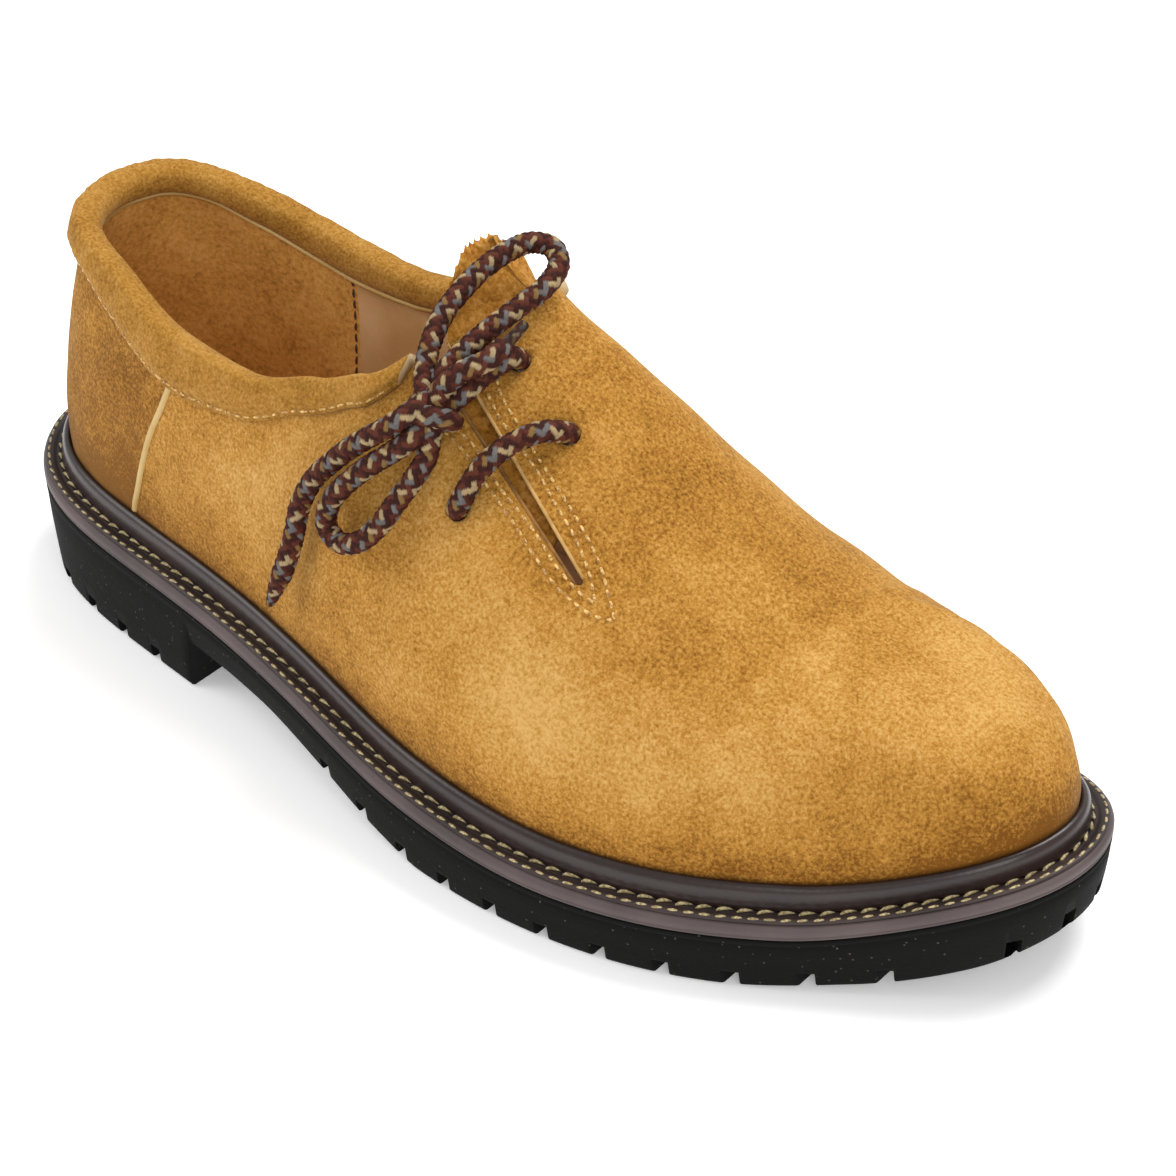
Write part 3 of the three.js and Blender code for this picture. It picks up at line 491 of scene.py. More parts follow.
def suede(name, pale, body, dark, mottle_mm=26.0, nap_mm=0.8, rough=1.5):
    """Suede from three colours. rough says how strongly the nap shows as light and dark."""
    material, tree, shader = new_material(
        name, Roughness=0.92, IOR=1.4, Sheen_Weight=0.2, Sheen_Roughness=0.45, Specular_IOR_Level=0.12
    )
    shader.inputs["Sheen Tint"].default_value = linear("#E6CFA0")
    place = add(tree, "ShaderNodeTexCoord").outputs["Object"]
    patterns = []
    for size, detail, depth in ((mottle_mm, 4.0, 0.55), (PATCH_SIZE, 3.0, 0.6), (nap_mm, 3.0, 0.7)):
        values = {"Scale": per_mm(size), "Detail": detail, "Roughness": depth}
        patterns.append(add(tree, "ShaderNodeTexNoise", values, Vector=place).outputs["Fac"])
    _, patch, nap = patterns
    strengths = (0.6, 0.34, rough)
    total = add(tree, "ShaderNodeAttribute", {"attribute_name": "tone"}).outputs["Fac"]
    for pattern, strength in zip(patterns, strengths):
        settings = {"operation": "MULTIPLY_ADD", 1: strength}
        total = add(tree, "ShaderNodeMath", settings, _0=pattern, _2=total).outputs[0]
    settings = {"operation": "ADD", 1: 0.5 - sum(strengths) / 2}
    middled = add(tree, "ShaderNodeMath", settings, _0=total).outputs[0]
    stops = ((0.1, dark), (0.9, pale), (0.5, body))
    ramp = add(tree, "ShaderNodeValToRGB", {"stops": stops}, Fac=middled)
    tree.links.new(ramp.outputs["Color"], shader.inputs["Base Color"])
    fine = add(tree, "ShaderNodeBump", {"Strength": 0.7, "Distance": 0.00035}, Height=nap).outputs["Normal"]
    both = add(tree, "ShaderNodeBump", {"Strength": 0.35, "Distance": 0.0009}, Height=patch, Normal=fine)
    tree.links.new(both.outputs["Normal"], shader.inputs["Normal"])
    return material


upper_suede = suede("ochre_suede", "#CDA25E", "#AF7C34", "#744814")
collar_suede = suede("collar_suede", "#BA8F4E", "#A1722D", "#714819", mottle_mm=14)
tongue_suede = suede("rough_split_suede", "#D2A259", "#B0782F", "#744512", 7, 1.4, 1.4)
lining_suede = suede("lining_suede", "#E6B56C", "#CE984C", "#9A6A2C", 16, 1.2, 1.4)


# %% [markdown]
# ## Smooth leathers
# Lining, insole, piping and the cut edges are smooth vegetable-tanned leather. They are one recipe
# with other colours: a faint cloud of tone, a grain bump of about a millimetre and a soft gloss. The
# dyed welt is the same recipe with a thin coat of polish, and the midsole is the same without one.


# %% Leather materials
def leather(name, pale, dark, roughness=0.5, grain_mm=1.1, cloud_mm=18.0, bump=0.25, coat=0.0):
    material, tree, shader = new_material(
        name, Roughness=roughness, IOR=1.45, Coat_Weight=coat, Coat_Roughness=0.25
    )
    place = add(tree, "ShaderNodeTexCoord").outputs["Object"]
    cloud = add(tree, "ShaderNodeTexNoise", {"Scale": per_mm(cloud_mm), "Detail": 4.0}, Vector=place)
    ramp = add(tree, "ShaderNodeValToRGB", {"stops": ((0.35, dark), (0.65, pale))}, Fac=cloud.outputs["Fac"])
    tree.links.new(ramp.outputs["Color"], shader.inputs["Base Color"])
    grain = add(tree, "ShaderNodeTexVoronoi", {"Scale": per_mm(grain_mm)}, Vector=place).outputs["Distance"]
    relief = add(tree, "ShaderNodeBump", {"Strength": bump, "Distance": 0.0002}, Height=grain)
    tree.links.new(relief.outputs["Normal"], shader.inputs["Normal"])
    return material


lining_leather = leather("lining_leather", "#D3AE80", "#BC925F", 0.55)
insole_leather = leather("insole_leather", "#C79A72", "#B08058", 0.6, 0.8)
piping_leather = leather("piping_leather", "#CDB074", "#B39152", 0.6, 0.8)
cut_leather = leather("cut_leather_edge", "#D9BE93", "#BFA070", 0.85, 0.6, 4)
# The slit's two edges are lit and shaded copies of one cut-edge leather: painted light on the inner edge,
# painted shade on the outer one.
lit_edge = leather("slit_edge_lit", "#CDA668", "#A67E42", 0.85, 0.6, 4)
painted_shade_edge = leather("slit_edge_painted_shade", "#94662E", "#5E3D17", 0.85, 0.6, 4)
welt_leather = leather("polished_welt", "#2E1E1A", "#211512", 0.34, 1.4, bump=0.18, coat=0.2)
midsole_rubber = leather("midsole_rubber", "#584A48", "#463A3A", 0.55, 1.0, bump=0.12)
# A darker copy of the midsole leather: painted shade for the gap under the storm welt.
midsole_top_painted_shade = leather("midsole_top_painted_shade", "#3C2E2A", "#2B201D", 0.5, 1.0, bump=0.12)


# %% [markdown]
# ## Moulded rubber and thread
# The outsole is black rubber moulded with a dull skin. A few light specks of mould dust and worn
# grit keep it from looking like one flat black. Thread is twisted and waxed, so it has a soft shine.
# Its twist and the fibres of the lace are finer than the picture shows, so both are drawn coarser.


# %% Rubber and thread materials
def moulded_rubber(name):
    material, tree, shader = new_material(name, Roughness=0.8, IOR=1.5, Specular_IOR_Level=0.16)
    place = add(tree, "ShaderNodeTexCoord").outputs["Object"]
    grit = add(tree, "ShaderNodeTexVoronoi", {"Scale": per_mm(2.4), "Randomness": 1.0}, Vector=place)
    stops = ((0.06, "#4A4842"), (0.13, "#080807"))
    spot = add(tree, "ShaderNodeValToRGB", {"stops": stops}, Fac=grit.outputs["Distance"])
    tree.links.new(spot.outputs["Color"], shader.inputs["Base Color"])
    skin = add(tree, "ShaderNodeTexNoise", {"Scale": per_mm(0.8), "Detail": 4.0}, Vector=place)
    relief = add(tree, "ShaderNodeBump", {"Strength": 0.5, "Distance": 0.0003}, Height=skin.outputs["Fac"])
    tree.links.new(relief.outputs["Normal"], shader.inputs["Normal"])
    return material


def thread(name, pale, dark):
    material, tree, shader = new_material(name, Roughness=0.55, Sheen_Weight=0.2)
    place = add(tree, "ShaderNodeTexCoord").outputs["Object"]
    twist = add(tree, "ShaderNodeTexNoise", {"Scale": per_mm(0.7), "Detail": 2.0}, Vector=place)
    ramp = add(tree, "ShaderNodeValToRGB", {"stops": ((0.4, dark), (0.6, pale))}, Fac=twist.outputs["Fac"])
    tree.links.new(ramp.outputs["Color"], shader.inputs["Base Color"])
    relief = add(tree, "ShaderNodeBump", {"Strength": 0.4, "Distance": 0.0001}, Height=twist.outputs["Fac"])
    tree.links.new(relief.outputs["Normal"], shader.inputs["Normal"])
    return material


outsole_rubber = moulded_rubber("moulded_rubber")
welt_thread = thread("waxed_welt_thread", "#BFAE80", "#857348")
upper_thread = thread("ochre_thread", "#E6BC6C", "#946624")
dark_thread = thread("brown_thread", "#5C3A1A", "#3A240F")


# %% Lace material
def braided(name):
    material, tree, shader = new_material(name, Roughness=0.75, IOR=1.45, Specular_IOR_Level=0.2)
    strand = add(tree, "ShaderNodeAttribute", {"attribute_name": "braid"})
    place = add(tree, "ShaderNodeTexCoord").outputs["Object"]
    fibre = add(tree, "ShaderNodeTexNoise", {"Scale": per_mm(0.45), "Detail": 2.0}, Vector=place)
    shade = add(tree, "ShaderNodeMapRange", {"To Min": 0.65, "To Max": 1.35}, Value=fibre.outputs["Fac"])
    mixed = add(
        tree, "ShaderNodeVectorMath", {"operation": "MULTIPLY"},
        _0=strand.outputs["Color"], _1=shade.outputs["Result"],
    )
    tree.links.new(mixed.outputs["Vector"], shader.inputs["Base Color"])
    relief = add(tree, "ShaderNodeBump", {"Strength": 0.5, "Distance": 0.0001}, Height=fibre.outputs["Fac"])
    tree.links.new(relief.outputs["Normal"], shader.inputs["Normal"])
    return material


braided_lace = braided("braided_lace")

# %% [markdown]
# ## The braided lace
# The lace is a round braid of sixteen strands. Eight run round it one way and eight the other, each over
# two and under two. Its picks are worked out from the place along and round the cord: which strand
# lies on top gives the colour, and the distance from the strand's middle gives the relief. The two
# free halves leave the knot, make the bow and end.

# %% Lace routes, as the lace lies on the shoe
LACE_HOLES = ((4.32, 0.515), (4.59, 0.79), (4.18, 0.82), (3.97, 0.58))
LACE_WIDTH = 1.06 * LACE_DIAMETER
KNOT_CENTRE = (156.2, -28.2, 101.0)
KNOT_WAY = (-0.2, 0.7, 0.69)
BAR_LOWER = (
    (176.4, -16.5, 99.2), (173.8, -21.3, 98.4), (171.2, -25.5, 96.2), (169.2, -29.2, 92.8),
    (168.0, -31.9, 89.2),
)
BAR_UPPER = ((162.2, -10.2, 109.5), (161.6, -14.3, 109.0), (160.7, -18.4, 107.7), (159.9, -21.6, 106.2))
END_LOWER = (
    (153.2, -33.4, 103.3), (149.5, -36.3, 99.8), (142.8, -38.2, 94.5), (134.8, -39.4, 86.8),
    (128.6, -40.4, 79.3), (126.0, -42.0, 73.0), (125.4, -43.8, 66.6), (124.6, -45.4, 61.1),
    (121.8, -46.2, 53.5), (117.6, -46.2, 44.5),
)
LOOP_LOWER = (
    (154.9, -34.2, 98.3), (151.0, -37.0, 94.4), (145.8, -39.5, 89.8), (140.0, -42.0, 83.5),
    (136.6, -43.6, 77.6), (137.0, -44.8, 73.2), (141.4, -45.8, 71.4), (147.4, -45.4, 73.9),
    (151.8, -43.2, 79.0), (154.6, -39.8, 84.9), (156.8, -36.4, 90.0), (158.0, -33.6, 94.2),
)
END_UPPER = (
    (156.7, -26.5, 107.3), (159.8, -23.4, 111.2), (163.4, -18.4, 113.4), (164.0, -12.6, 115.2),
    (163.2, -6.1, 116.4),
)
LOOP_UPPER = (
    (151.6, -26.4, 105.2), (147.9, -20.9, 110.2), (146.0, -14.5, 115.0), (145.6, -7.5, 118.6),
    (146.2, -0.5, 121.4), (147.8, 6.0, 123.6), (150.6, 11.4, 124.6), (154.8, 13.6, 123.8),
    (158.4, 11.4, 121.6), (159.4, 6.0, 119.4), (158.4, 0.0, 117.4), (156.8, -6.0, 115.4),
    (155.4, -12.0, 113.2), (154.3, -17.6, 110.8), (153.8, -22.0, 108.4),
)
THROUGH_KNOT_UP = ((157.4, -31.4, 98.4), (156.6, -28.8, 102.8))
THROUGH_KNOT_DOWN = ((154.4, -25.6, 104.9), (154.2, -29.8, 104.2))
NEAR_KNOT = ((155.9, -30.0, 101.2),)
FAR_KNOT = ((154.6, -28.6, 102.8),)

STRANDS_UP = ("#33150F", "#54291C", "#A08A66", "#33150F", "#605C5A", "#4E2216", "#33150F", "#54291C")
STRANDS_DOWN = ("#54291C", "#988462", "#33150F", "#421B12", "#666260", "#33150F", "#785C34", "#421B12")
PICK_LENGTH = 1.4
PICK_RELIEF = 0.62
PICK_FOOT = 0.5
CRIMP_COLOUR = 0.5 * np.array(linear("#2C1C18"))
LACE_STEP = 0.3
ROUND_LACE = 48


# %% Lace tubes
def smooth_line(points):
    """Even steps along a smooth curve through the points."""
    points = np.array(points, float)
    length = np.concatenate([[0], np.cumsum(np.linalg.norm(np.diff(points, axis=0), axis=1) ** 0.5)])
    slope = np.gradient(points, length, axis=0)
    at = np.linspace(0, length[-1], 60 * len(points))
    row = np.clip(np.searchsorted(length, at, side="right") - 1, 0, len(points) - 2)
    width = (length[row + 1] - length[row])[:, None]
    f = (at - length[row])[:, None] / width
    line = hermite(f, width, points[row], points[row + 1], slope[row], slope[row + 1])
    along = np.concatenate([[0], np.cumsum(np.linalg.norm(np.diff(line, axis=0), axis=1))])
    even = np.linspace(0, along[-1], max(3, int(along[-1] / LACE_STEP)))
    return np.stack([np.interp(even, along, line[:, i]) for i in range(3)], -1), even


def frames_along(line):
    """Two directions across a line that turn with it and never twist."""
    ahead = unit(np.gradient(line, axis=0))
    across = np.zeros_like(line)
    start = np.cross(ahead[0], [0.3, 0.2, 1.0])
    for i, way in enumerate(ahead):
        start = unit(start - way * (start @ way))
        across[i] = start
    return across, np.cross(ahead, across)


def braid(along, around):
    """Height from 0 to 1 and colour of a round braid at a place along it and round it."""
    count = len(STRANDS_UP)
    a = along / PICK_LENGTH + around * count
    b = along / PICK_LENGTH - around * count
    row_a, row_b = np.floor(a).astype(int), np.floor(b).astype(int)
    turn = (row_a + row_b) % 4
    up = turn < 2
    cross = np.where(up, b - row_b, a - row_a)
    run = np.where(up, turn + a - row_a, turn - 2 + b - row_b) / 2
    height = 0.65 * np.sqrt(np.clip(1 - (2 * cross - 1) ** 2, 0, 1)) + 0.35 * np.sin(np.pi * run)
    first = np.array([linear(c) for c in STRANDS_UP])[row_b % count]
    second = np.array([linear(c) for c in STRANDS_DOWN])[row_a % count]
    return height, np.where(up[..., None], first, second)


def lace(name, points, taper=(), crimp=0.0, **more):
    """Braided tube along given points. taper narrows the far end, crimp makes it a dark tip."""
    line, along = smooth_line(points)
    across, other = frames_along(line)
    turn = np.linspace(0, 1, ROUND_LACE, endpoint=False)
    u, v = np.meshgrid(along, turn, indexing="ij")
    height, colour = braid(u, v)
    left = along[-1] - along
    narrow = np.ones_like(along)
    if taper:
        length, share = taper
        narrow = share + (1 - share) * np.clip(left / length, 0, 1) ** 0.7
    tip = (np.clip((crimp - left) / 0.8, 0, 1) if crimp else np.zeros_like(along))[:, None]
    colour = colour * (1 - 0.72 * tip[..., None]) + CRIMP_COLOUR * tip[..., None]
    # Painted shade: the colour is darkened in the grooves between the strands.
    painted_groove_shade = 0.55 + 0.45 * np.clip(height * 1.6, 0, 1)
    colour = colour * painted_groove_shade[..., None]
    radius = LACE_WIDTH / 2 - PICK_FOOT + PICK_RELIEF * height * (1 - 0.8 * tip)
    radius = radius * narrow[:, None] * (1 - 0.3 * tip)
    angle = 2 * np.pi * v
    points_out = line[:, None] + across[:, None] * (radius * np.cos(angle))[..., None]
    points_out = points_out + other[:, None] * (radius * np.sin(angle))[..., None]
    faces = capped_tube(len(line), ROUND_LACE, flip=True)
    piece = make_piece(name, points_out.reshape(-1, 3), faces, braided_lace, "lace", **more)
    colours = piece.data.attributes.new("braid", "FLOAT_COLOR", "POINT")
    colours.data.foreach_set("color", colour.ravel())
    return piece, line


HOLE_INSIDE = 3.6
HOLE_MOUTH = 0.6


def hole_place(number):
    """Centre of a lace hole on the last, and the way out of it."""
    return last_point(-1, *LACE_HOLES[number]).reshape(3), last_normal(-1, *LACE_HOLES[number]).reshape(3)


def through_hole(number, outside_first):
    """Points that take a lace in or out through one of the holes."""
    centre, out = hole_place(number)
    rows = [centre - out * HOLE_INSIDE, centre - out * HOLE_MOUTH]
    return rows[::-1] if outside_first else rows


low_bar = through_hole(1, False) + list(BAR_LOWER) + through_hole(0, True)
high_bar = through_hole(2, False) + list(BAR_UPPER) + [KNOT_CENTRE]
lace("lace_bar_low", low_bar, stands_for=("lace_bar_lower",))
lace("lace_bar_high", high_bar, stands_for=("lace_bar_upper",))
lace("lace_under_knot", through_hole(3, False) + [KNOT_CENTRE])

# %% The knot's wrap
WRAP_POINTS = 15
WRAP_TURNS = 1.04
WRAP_START = -1.2
WRAP_DEPTH = 2.9
WRAP_RISE = 0.9
WRAP_WIDTH = 4.3
WRAP_CLIMB = 3.2

knot_way = unit(np.array(KNOT_WAY))
knot_out = hole_place(3)[1]
knot_out = unit(knot_out - knot_way * (knot_out @ knot_way))
knot_side = np.cross(knot_way, knot_out)
wrap_points = []
for share in np.linspace(0, 1, WRAP_POINTS):
    angle = 2 * math.pi * WRAP_TURNS * share + WRAP_START
    outward = knot_out * (WRAP_DEPTH * math.cos(angle) + WRAP_RISE)
    sideways = knot_side * WRAP_WIDTH * math.sin(angle)
    wrap_points.append(KNOT_CENTRE + outward + sideways + knot_way * WRAP_CLIMB * (share - 0.5))
knot_wrap, _ = lace("lace_knot_wrap", wrap_points, stands_for=("lace_knot",))


# %% The two free halves of the lace
def free_lace(name, points, far_end, stands_for, on_it=(), **ends):
    piece, line = lace(name, points, stands_for=stands_for, **ends)
    path = in_metres(np.concatenate([line[::6], line[-1:]]))


free_lace(
    "lace_bow_low", NEAR_KNOT + LOOP_LOWER + THROUGH_KNOT_UP + END_UPPER, "fitting",
    ("lace_loop_lower", "lace_end_upper"), [knot_wrap], crimp=8.0, taper=(9.0, 0.8),
)
free_lace(
    "lace_bow_high", FAR_KNOT + LOOP_UPPER + THROUGH_KNOT_DOWN + END_LOWER, "bare",
    ("lace_loop_upper", "lace_end_lower"), taper=(11.0, 0.35),
)


# %% [markdown]
# ## The rubber sole
# The unit is a slab that follows the outline, with a heel block, an arch and a lifted toe. The
# lug gaps are cut as the mould leaves them: straight grooves across, and short notches that fan
# round heel and toe. All the cutters are joined in one mesh, so a single boolean cuts them all.

# %% Sizes of the tread
GROUND_INSET = 1.4
SOLE_CHAMFER = 1.2
LUG_PITCH = 14.0
LUG_GAP = 3.6
LUG_DEPTH = 4.5
LUG_REACH = 7.0
SPINE_GAP = 3.0
SPINE_OFFSET = 17.0
GROOVE_FLOOR = -1.0
HEEL_GROOVES = 4
FORE_GROOVES = 11
FORE_START = 0.45 * SOLE_LENGTH
SPINE_START = 0.52 * SOLE_LENGTH
SPINE_END = 0.87 * SOLE_LENGTH
EDGE_NOTCHES = ((-1, 0.42), (1, 0.42), (-1, 8.15), (-1, 8.75), (1, 8.7), (1, 8.1))


def underside_at(x):
    share = np.asarray(x, float) / SOLE_LENGTH
    arch = ARCH_RISE * table_at(UNDERSIDE, "arch", share, "x")
    return arch + TOE_SPRING * table_at(UNDERSIDE, "spring", share, "x", True)


def station_of_x(x):
    stations = np.linspace(0, TOE_STATION, 2001)
    return float(np.interp(x, outline_at(-1, stations)[0][:, 0], stations))


# %% Outsole body
def flat_layer(stations, levels):
    """Closed slab: side walls through the levels, and caps that run straight across."""
    columns = len(stations)
    points = [level(side, stations) for side in SIDES for level in levels]
    count = len(levels)
    faces = [grid_faces(count, columns), grid_faces(count, columns, start=count * columns, flip=True)]
    for row, flip in ((0, False), (count - 1, True)):
        low = row * columns + np.arange(columns)
        high = (count + row) * columns + np.arange(columns)
        cap = np.stack([high[:-1], high[1:], low[1:], low[:-1]], -1)
        faces.append(cap[:, ::-1] if flip else cap)
    return np.concatenate(points), np.concatenate(faces)


breast = station_of_x(HEEL_END)
arch_start = station_of_x(HEEL_END + BREAST_LEAN)
sole_stations = np.concatenate([np.linspace(0, breast, 60), np.linspace(arch_start, TOE_STATION, 200)])


def ground_level(inset, lift):
    def level(side, stations):
        point = edge_point(side, stations, inset, 0)
        under = np.where(stations <= breast, 0, underside_at(point[:, 0]))
        point[:, 2] = under + lift
        return point

    return level


def wall_level(share, bulge):
    """A row of the rubber's side wall between its foot and its top, with a slight bulge."""

    def level(side, stations):
        foot = ground_level(GROUND_INSET, SOLE_CHAMFER)(side, stations)
        head = edge_point(side, stations, 0, -GAP / 2)
        row = foot * (1 - share) + head * share
        row[:, :2] += outline_at(side, stations)[1] * bulge
        return row

    return level


sole_levels = [
    ground_level(GROUND_INSET + SOLE_CHAMFER, 0),
    ground_level(GROUND_INSET + 0.35 * SOLE_CHAMFER, 0.35 * SOLE_CHAMFER),
    ground_level(GROUND_INSET, SOLE_CHAMFER),
    wall_level(0.3, 0.12),
    wall_level(0.6, 0.12),
    wall_level(0.82, 0.0),
    wall_level(0.87, -0.45),
    wall_level(0.92, 0.0),
    wall_level(1.0, -0.15),
]
sole_points, sole_faces = flat_layer(sole_stations, sole_levels)
outsole = clean_piece("rubber_outsole", sole_points, sole_faces, outsole_rubber, "rubber", ("outsole",))


# %% Cut the lug gaps
def block(centre, half, turn=(1.0, 0.0)):
    """Corners of a box at a centre with half sizes, its second axis turned to the way out."""
    corners = np.array([(x, y, z) for x in (-1, 1) for y in (-1, 1) for z in (-1, 1)]) * half
    out_x, out_y = turn
    spin = np.array([[out_y, -out_x, 0], [out_x, out_y, 0], [0, 0, 1.0]])
    return corners @ spin + centre


BOX_FACES = np.array([(0, 1, 3, 2), (4, 6, 7, 5), (0, 4, 5, 1), (2, 3, 7, 6), (0, 2, 6, 4), (1, 5, 7, 3)])


def cut_shapes(piece, shapes, material=None):
    """Cuts closed shapes out of a piece. With a material, the new walls are made of it."""
    for number, (points, faces) in enumerate(shapes):
        cutter = mesh_object("cutter", in_metres(points), faces, material)
        clean_mesh(cutter)
        modifier = piece.modifiers.new(f"cut_{number}", "BOOLEAN")
        modifier.operation = "DIFFERENCE"
        modifier.solver = "EXACT"
        modifier.use_self = material is None
        if material:
            modifier.material_mode = "TRANSFER"
        modifier.object = cutter
    graph = bpy.context.evaluated_depsgraph_get()
    cut = bpy.data.meshes.new_from_object(piece.evaluated_get(graph))
    cutters = [modifier.object for modifier in piece.modifiers]
    piece.modifiers.clear()
    piece.data = cut
    for cutter in cutters:
        bpy.data.objects.remove(cutter)
    print(piece.name, "after the cuts has", len(cut.polygons), "faces")


grooves = [(HEEL_END - (i + 1) * LUG_PITCH, 0.0) for i in range(HEEL_GROOVES)]
fore_places = [FORE_START + i * LUG_PITCH for i in range(FORE_GROOVES)]
grooves += [(x, float(underside_at(x))) for x in fore_places]
tread = []
for x, under in grooves:
    top_z = under + LUG_DEPTH
    middle = (x, 0, (top_z + GROOVE_FLOOR) / 2)
    tread.append(block(middle, (1.5 * HALF_BALL, LUG_GAP / 2, (top_z - GROOVE_FLOOR) / 2)))
for side, station in EDGE_NOTCHES:
    place, out = outline_at(side, np.array([station]))
    under = float(underside_at(place[0, 0])) if station > 1 else 0.0
    middle = (place[0, 0], place[0, 1], under + (LUG_DEPTH + GROOVE_FLOOR) / 2)
    half = (LUG_GAP / 2, LUG_REACH, (LUG_DEPTH - GROOVE_FLOOR) / 2)
    tread.append(block(middle, half, tuple(out[0])))
for side in SIDES:
    middle = ((SPINE_START + SPINE_END) / 2, side * SPINE_OFFSET, (LUG_DEPTH + GROOVE_FLOOR) / 2)
    half = (SPINE_GAP / 2, (SPINE_END - SPINE_START) / 2, (LUG_DEPTH - GROOVE_FLOOR) / 2)
    tread.append(block(middle, half))
tread_faces = np.concatenate([BOX_FACES + 8 * i for i in range(len(tread))])
cut_shapes(outsole, [(np.concatenate(tread), tread_faces)])

# %% [markdown]
# ## Midsole, welt and insole
# Between rubber and suede sits a brown midsole with rounded edges. The storm welt is a folded strip
# of polished leather: it stands up against the upper and keeps rain out of the seam. Its groove
# holds the inner row of stitches, and the outer row holds the midsole.

# %% Midsole
MIDSOLE_ROWS = (
    (0.5, GAP / 2), (0.15, 0.35), (0.0, 0.8), (0.25, 1.05), (0.0, 1.3), (0.0, 2.4), (0.2, 3.1), (0.7, 3.6),
    (1.3, MIDSOLE_THICK),
)
fine_stations = np.linspace(0, TOE_STATION, 260)


def inside_edge(inset, rise):
    """Place function for a row at an inset from the sole's outline and a rise above the rubber."""
    return lambda side, stations: edge_point(side, stations, inset, rise)


midsole_layer = flat_layer(fine_stations, [inside_edge(*row) for row in MIDSOLE_ROWS])
clean_piece("brown_midsole", *midsole_layer, midsole_rubber, "midsole", ("midsole",))


# %% Rings that run once round the shoe
def ring_points(place, count=320):
    """Points of an even walk round the whole shoe, down the lateral side and back up the medial one."""
    there = np.linspace(0, TOE_STATION, count)
    return np.concatenate([place(-1, there), place(1, there[1:-1][::-1])])


def ring_piece(name, places, material, slot, stands_for=()):
    """Closed section, given as one place function for each corner, swept round the shoe."""
    rows = np.stack([ring_points(place) for place in places], 1)
    faces = grid_faces(*rows.shape[:2], close_rows=True, close_columns=True)
    return clean_piece(name, rows.reshape(-1, 3), faces, material, slot, stands_for)


def beside_upper(out, rise):
    return lambda side, stations: face_point(side, stations, out + WELT_GAP, rise)


WELT_GAP = 0.15
WELT_SECTION = (
    (0.0, 4.3), (2.9, 4.3), (3.05, 5.0), (2.75, 5.7), (2.55, 6.6), (2.35, 7.8), (2.1, 8.9), (1.7, 9.8),
    (1.1, 10.4), (0.5, 10.6), (0.0, 10.3),
)
ring_piece("storm_welt", [beside_upper(*row) for row in WELT_SECTION], welt_leather, "welt", ("welt",))
# The strip between the stitch rows takes the darker midsole colour as painted shade under the storm welt.
WELT_STRIP = (
    (3.2, 4.0), (7.0, 4.0), (7.05, 4.45), (6.5, 4.75), (5.0, 4.75), (4.7, 4.2), (4.2, 4.15), (3.6, 4.3),
)
strip_section = [inside_edge(FEATHER_INSET - out, rise) for out, rise in WELT_STRIP]
ring_piece("welt_strip", strip_section, midsole_top_painted_shade, "midsole")


# %% Insole with a rounded upper edge
INSOLE_ROWS = ((10.9, FEATHER_RISE), (10.9, FEATHER_RISE + 2.6), (11.6, FEATHER_RISE + 3.4))
insole_layer = flat_layer(fine_stations, [inside_edge(*row) for row in INSOLE_ROWS])
clean_piece("leather_insole", *insole_layer, insole_leather, "insole", ("insole",))


# %% [markdown]
# ## Rows of stitches
# A stitch is a short fat thread that dips into the leather at both ends. One capsule is shaped once,
# and copies are set along a line with a fixed length and gap, some turned a little, as a welt
# machine leaves them.

# %% Stitches
def stitch_shape(sides=6):
    rows = ((-0.5, 0.45, -0.5), (-0.36, 0.85, 0.0), (0.0, 1.0, 0.35), (0.36, 0.85, 0.0), (0.5, 0.45, -0.5))
    angles = np.linspace(0, 2 * np.pi, sides, endpoint=False)
    points = [
        (x, radius * math.cos(a), radius * math.sin(a) + lift)
        for x, radius, lift in rows
        for a in angles
    ]
    return np.array(points), capped_tube(len(rows), sides, flip=True)


def walk(points, normals, step):
    """Places an even step apart along a line, with the line's direction and the surface's normal."""
    gaps = np.linalg.norm(np.diff(points, axis=0), axis=1)
    length = np.concatenate([[0], np.cumsum(gaps)])
    count = max(2, int(length[-1] / step))
    at = (np.arange(count) + 0.5) * length[-1] / count
    spot = np.stack([np.interp(at, length, points[:, i]) for i in range(3)], -1)
    normal = unit(np.stack([np.interp(at, length, normals[:, i]) for i in range(3)], -1))
    ahead = np.stack([np.interp(at + 0.2, length, points[:, i]) for i in range(3)], -1)
    behind = np.stack([np.interp(at - 0.2, length, points[:, i]) for i in range(3)], -1)
    along = unit(ahead - behind)
    return spot, along, normal


def stitch_row(name, points, normals, material, pitch, length, thick, slant, seed):
    """Stitches along a line, a pitch apart, turned by the slant and by small seeded chances."""
    spot, along, normal = walk(points, normals, pitch)
    across = unit(np.cross(normal, along))
    chance = np.random.default_rng(seed)
    wobble = chance.normal(0, 0.05, len(spot)) + slant
    size = length * (1 + chance.normal(0, 0.05, len(spot)))
    shape, shape_faces = stitch_shape()
    way = unit(along + across * np.tan(wobble)[:, None])
    side_way = unit(np.cross(normal, way))
    points_out = (
        spot[:, None, :]
        + way[:, None, :] * (shape[None, :, 0:1] * size[:, None, None])
        + side_way[:, None, :] * (shape[None, :, 1:2] * thick / 2)
        + normal[:, None, :] * (shape[None, :, 2:3] * thick / 2)
    )
    faces = [[index + i * len(shape) for index in face] for i in range(len(spot)) for face in shape_faces]
    make_piece(name, points_out.reshape(-1, 3), faces, material, "piping")


# Each row of the welt: inset, rise, pitch, length, thickness, slant and seed
WELT_ROWS = {
    "outer": (1.75, 4.62, 3.5, 2.7, 0.72, 0.08, 3),
    "inner": (4.75, 4.45, 4.4, 3.8, 0.95, 0.28, 5),
}
for word, (inset, rise, *stitch) in WELT_ROWS.items():
    line = ring_points(inside_edge(inset, rise), 400)
    line = np.concatenate([line, line[:1]])
    upward = np.tile([0, 0, 1.0], (len(line), 1))
    stitch_row(f"welt_stitches_{word}", line, upward, welt_thread, *stitch)


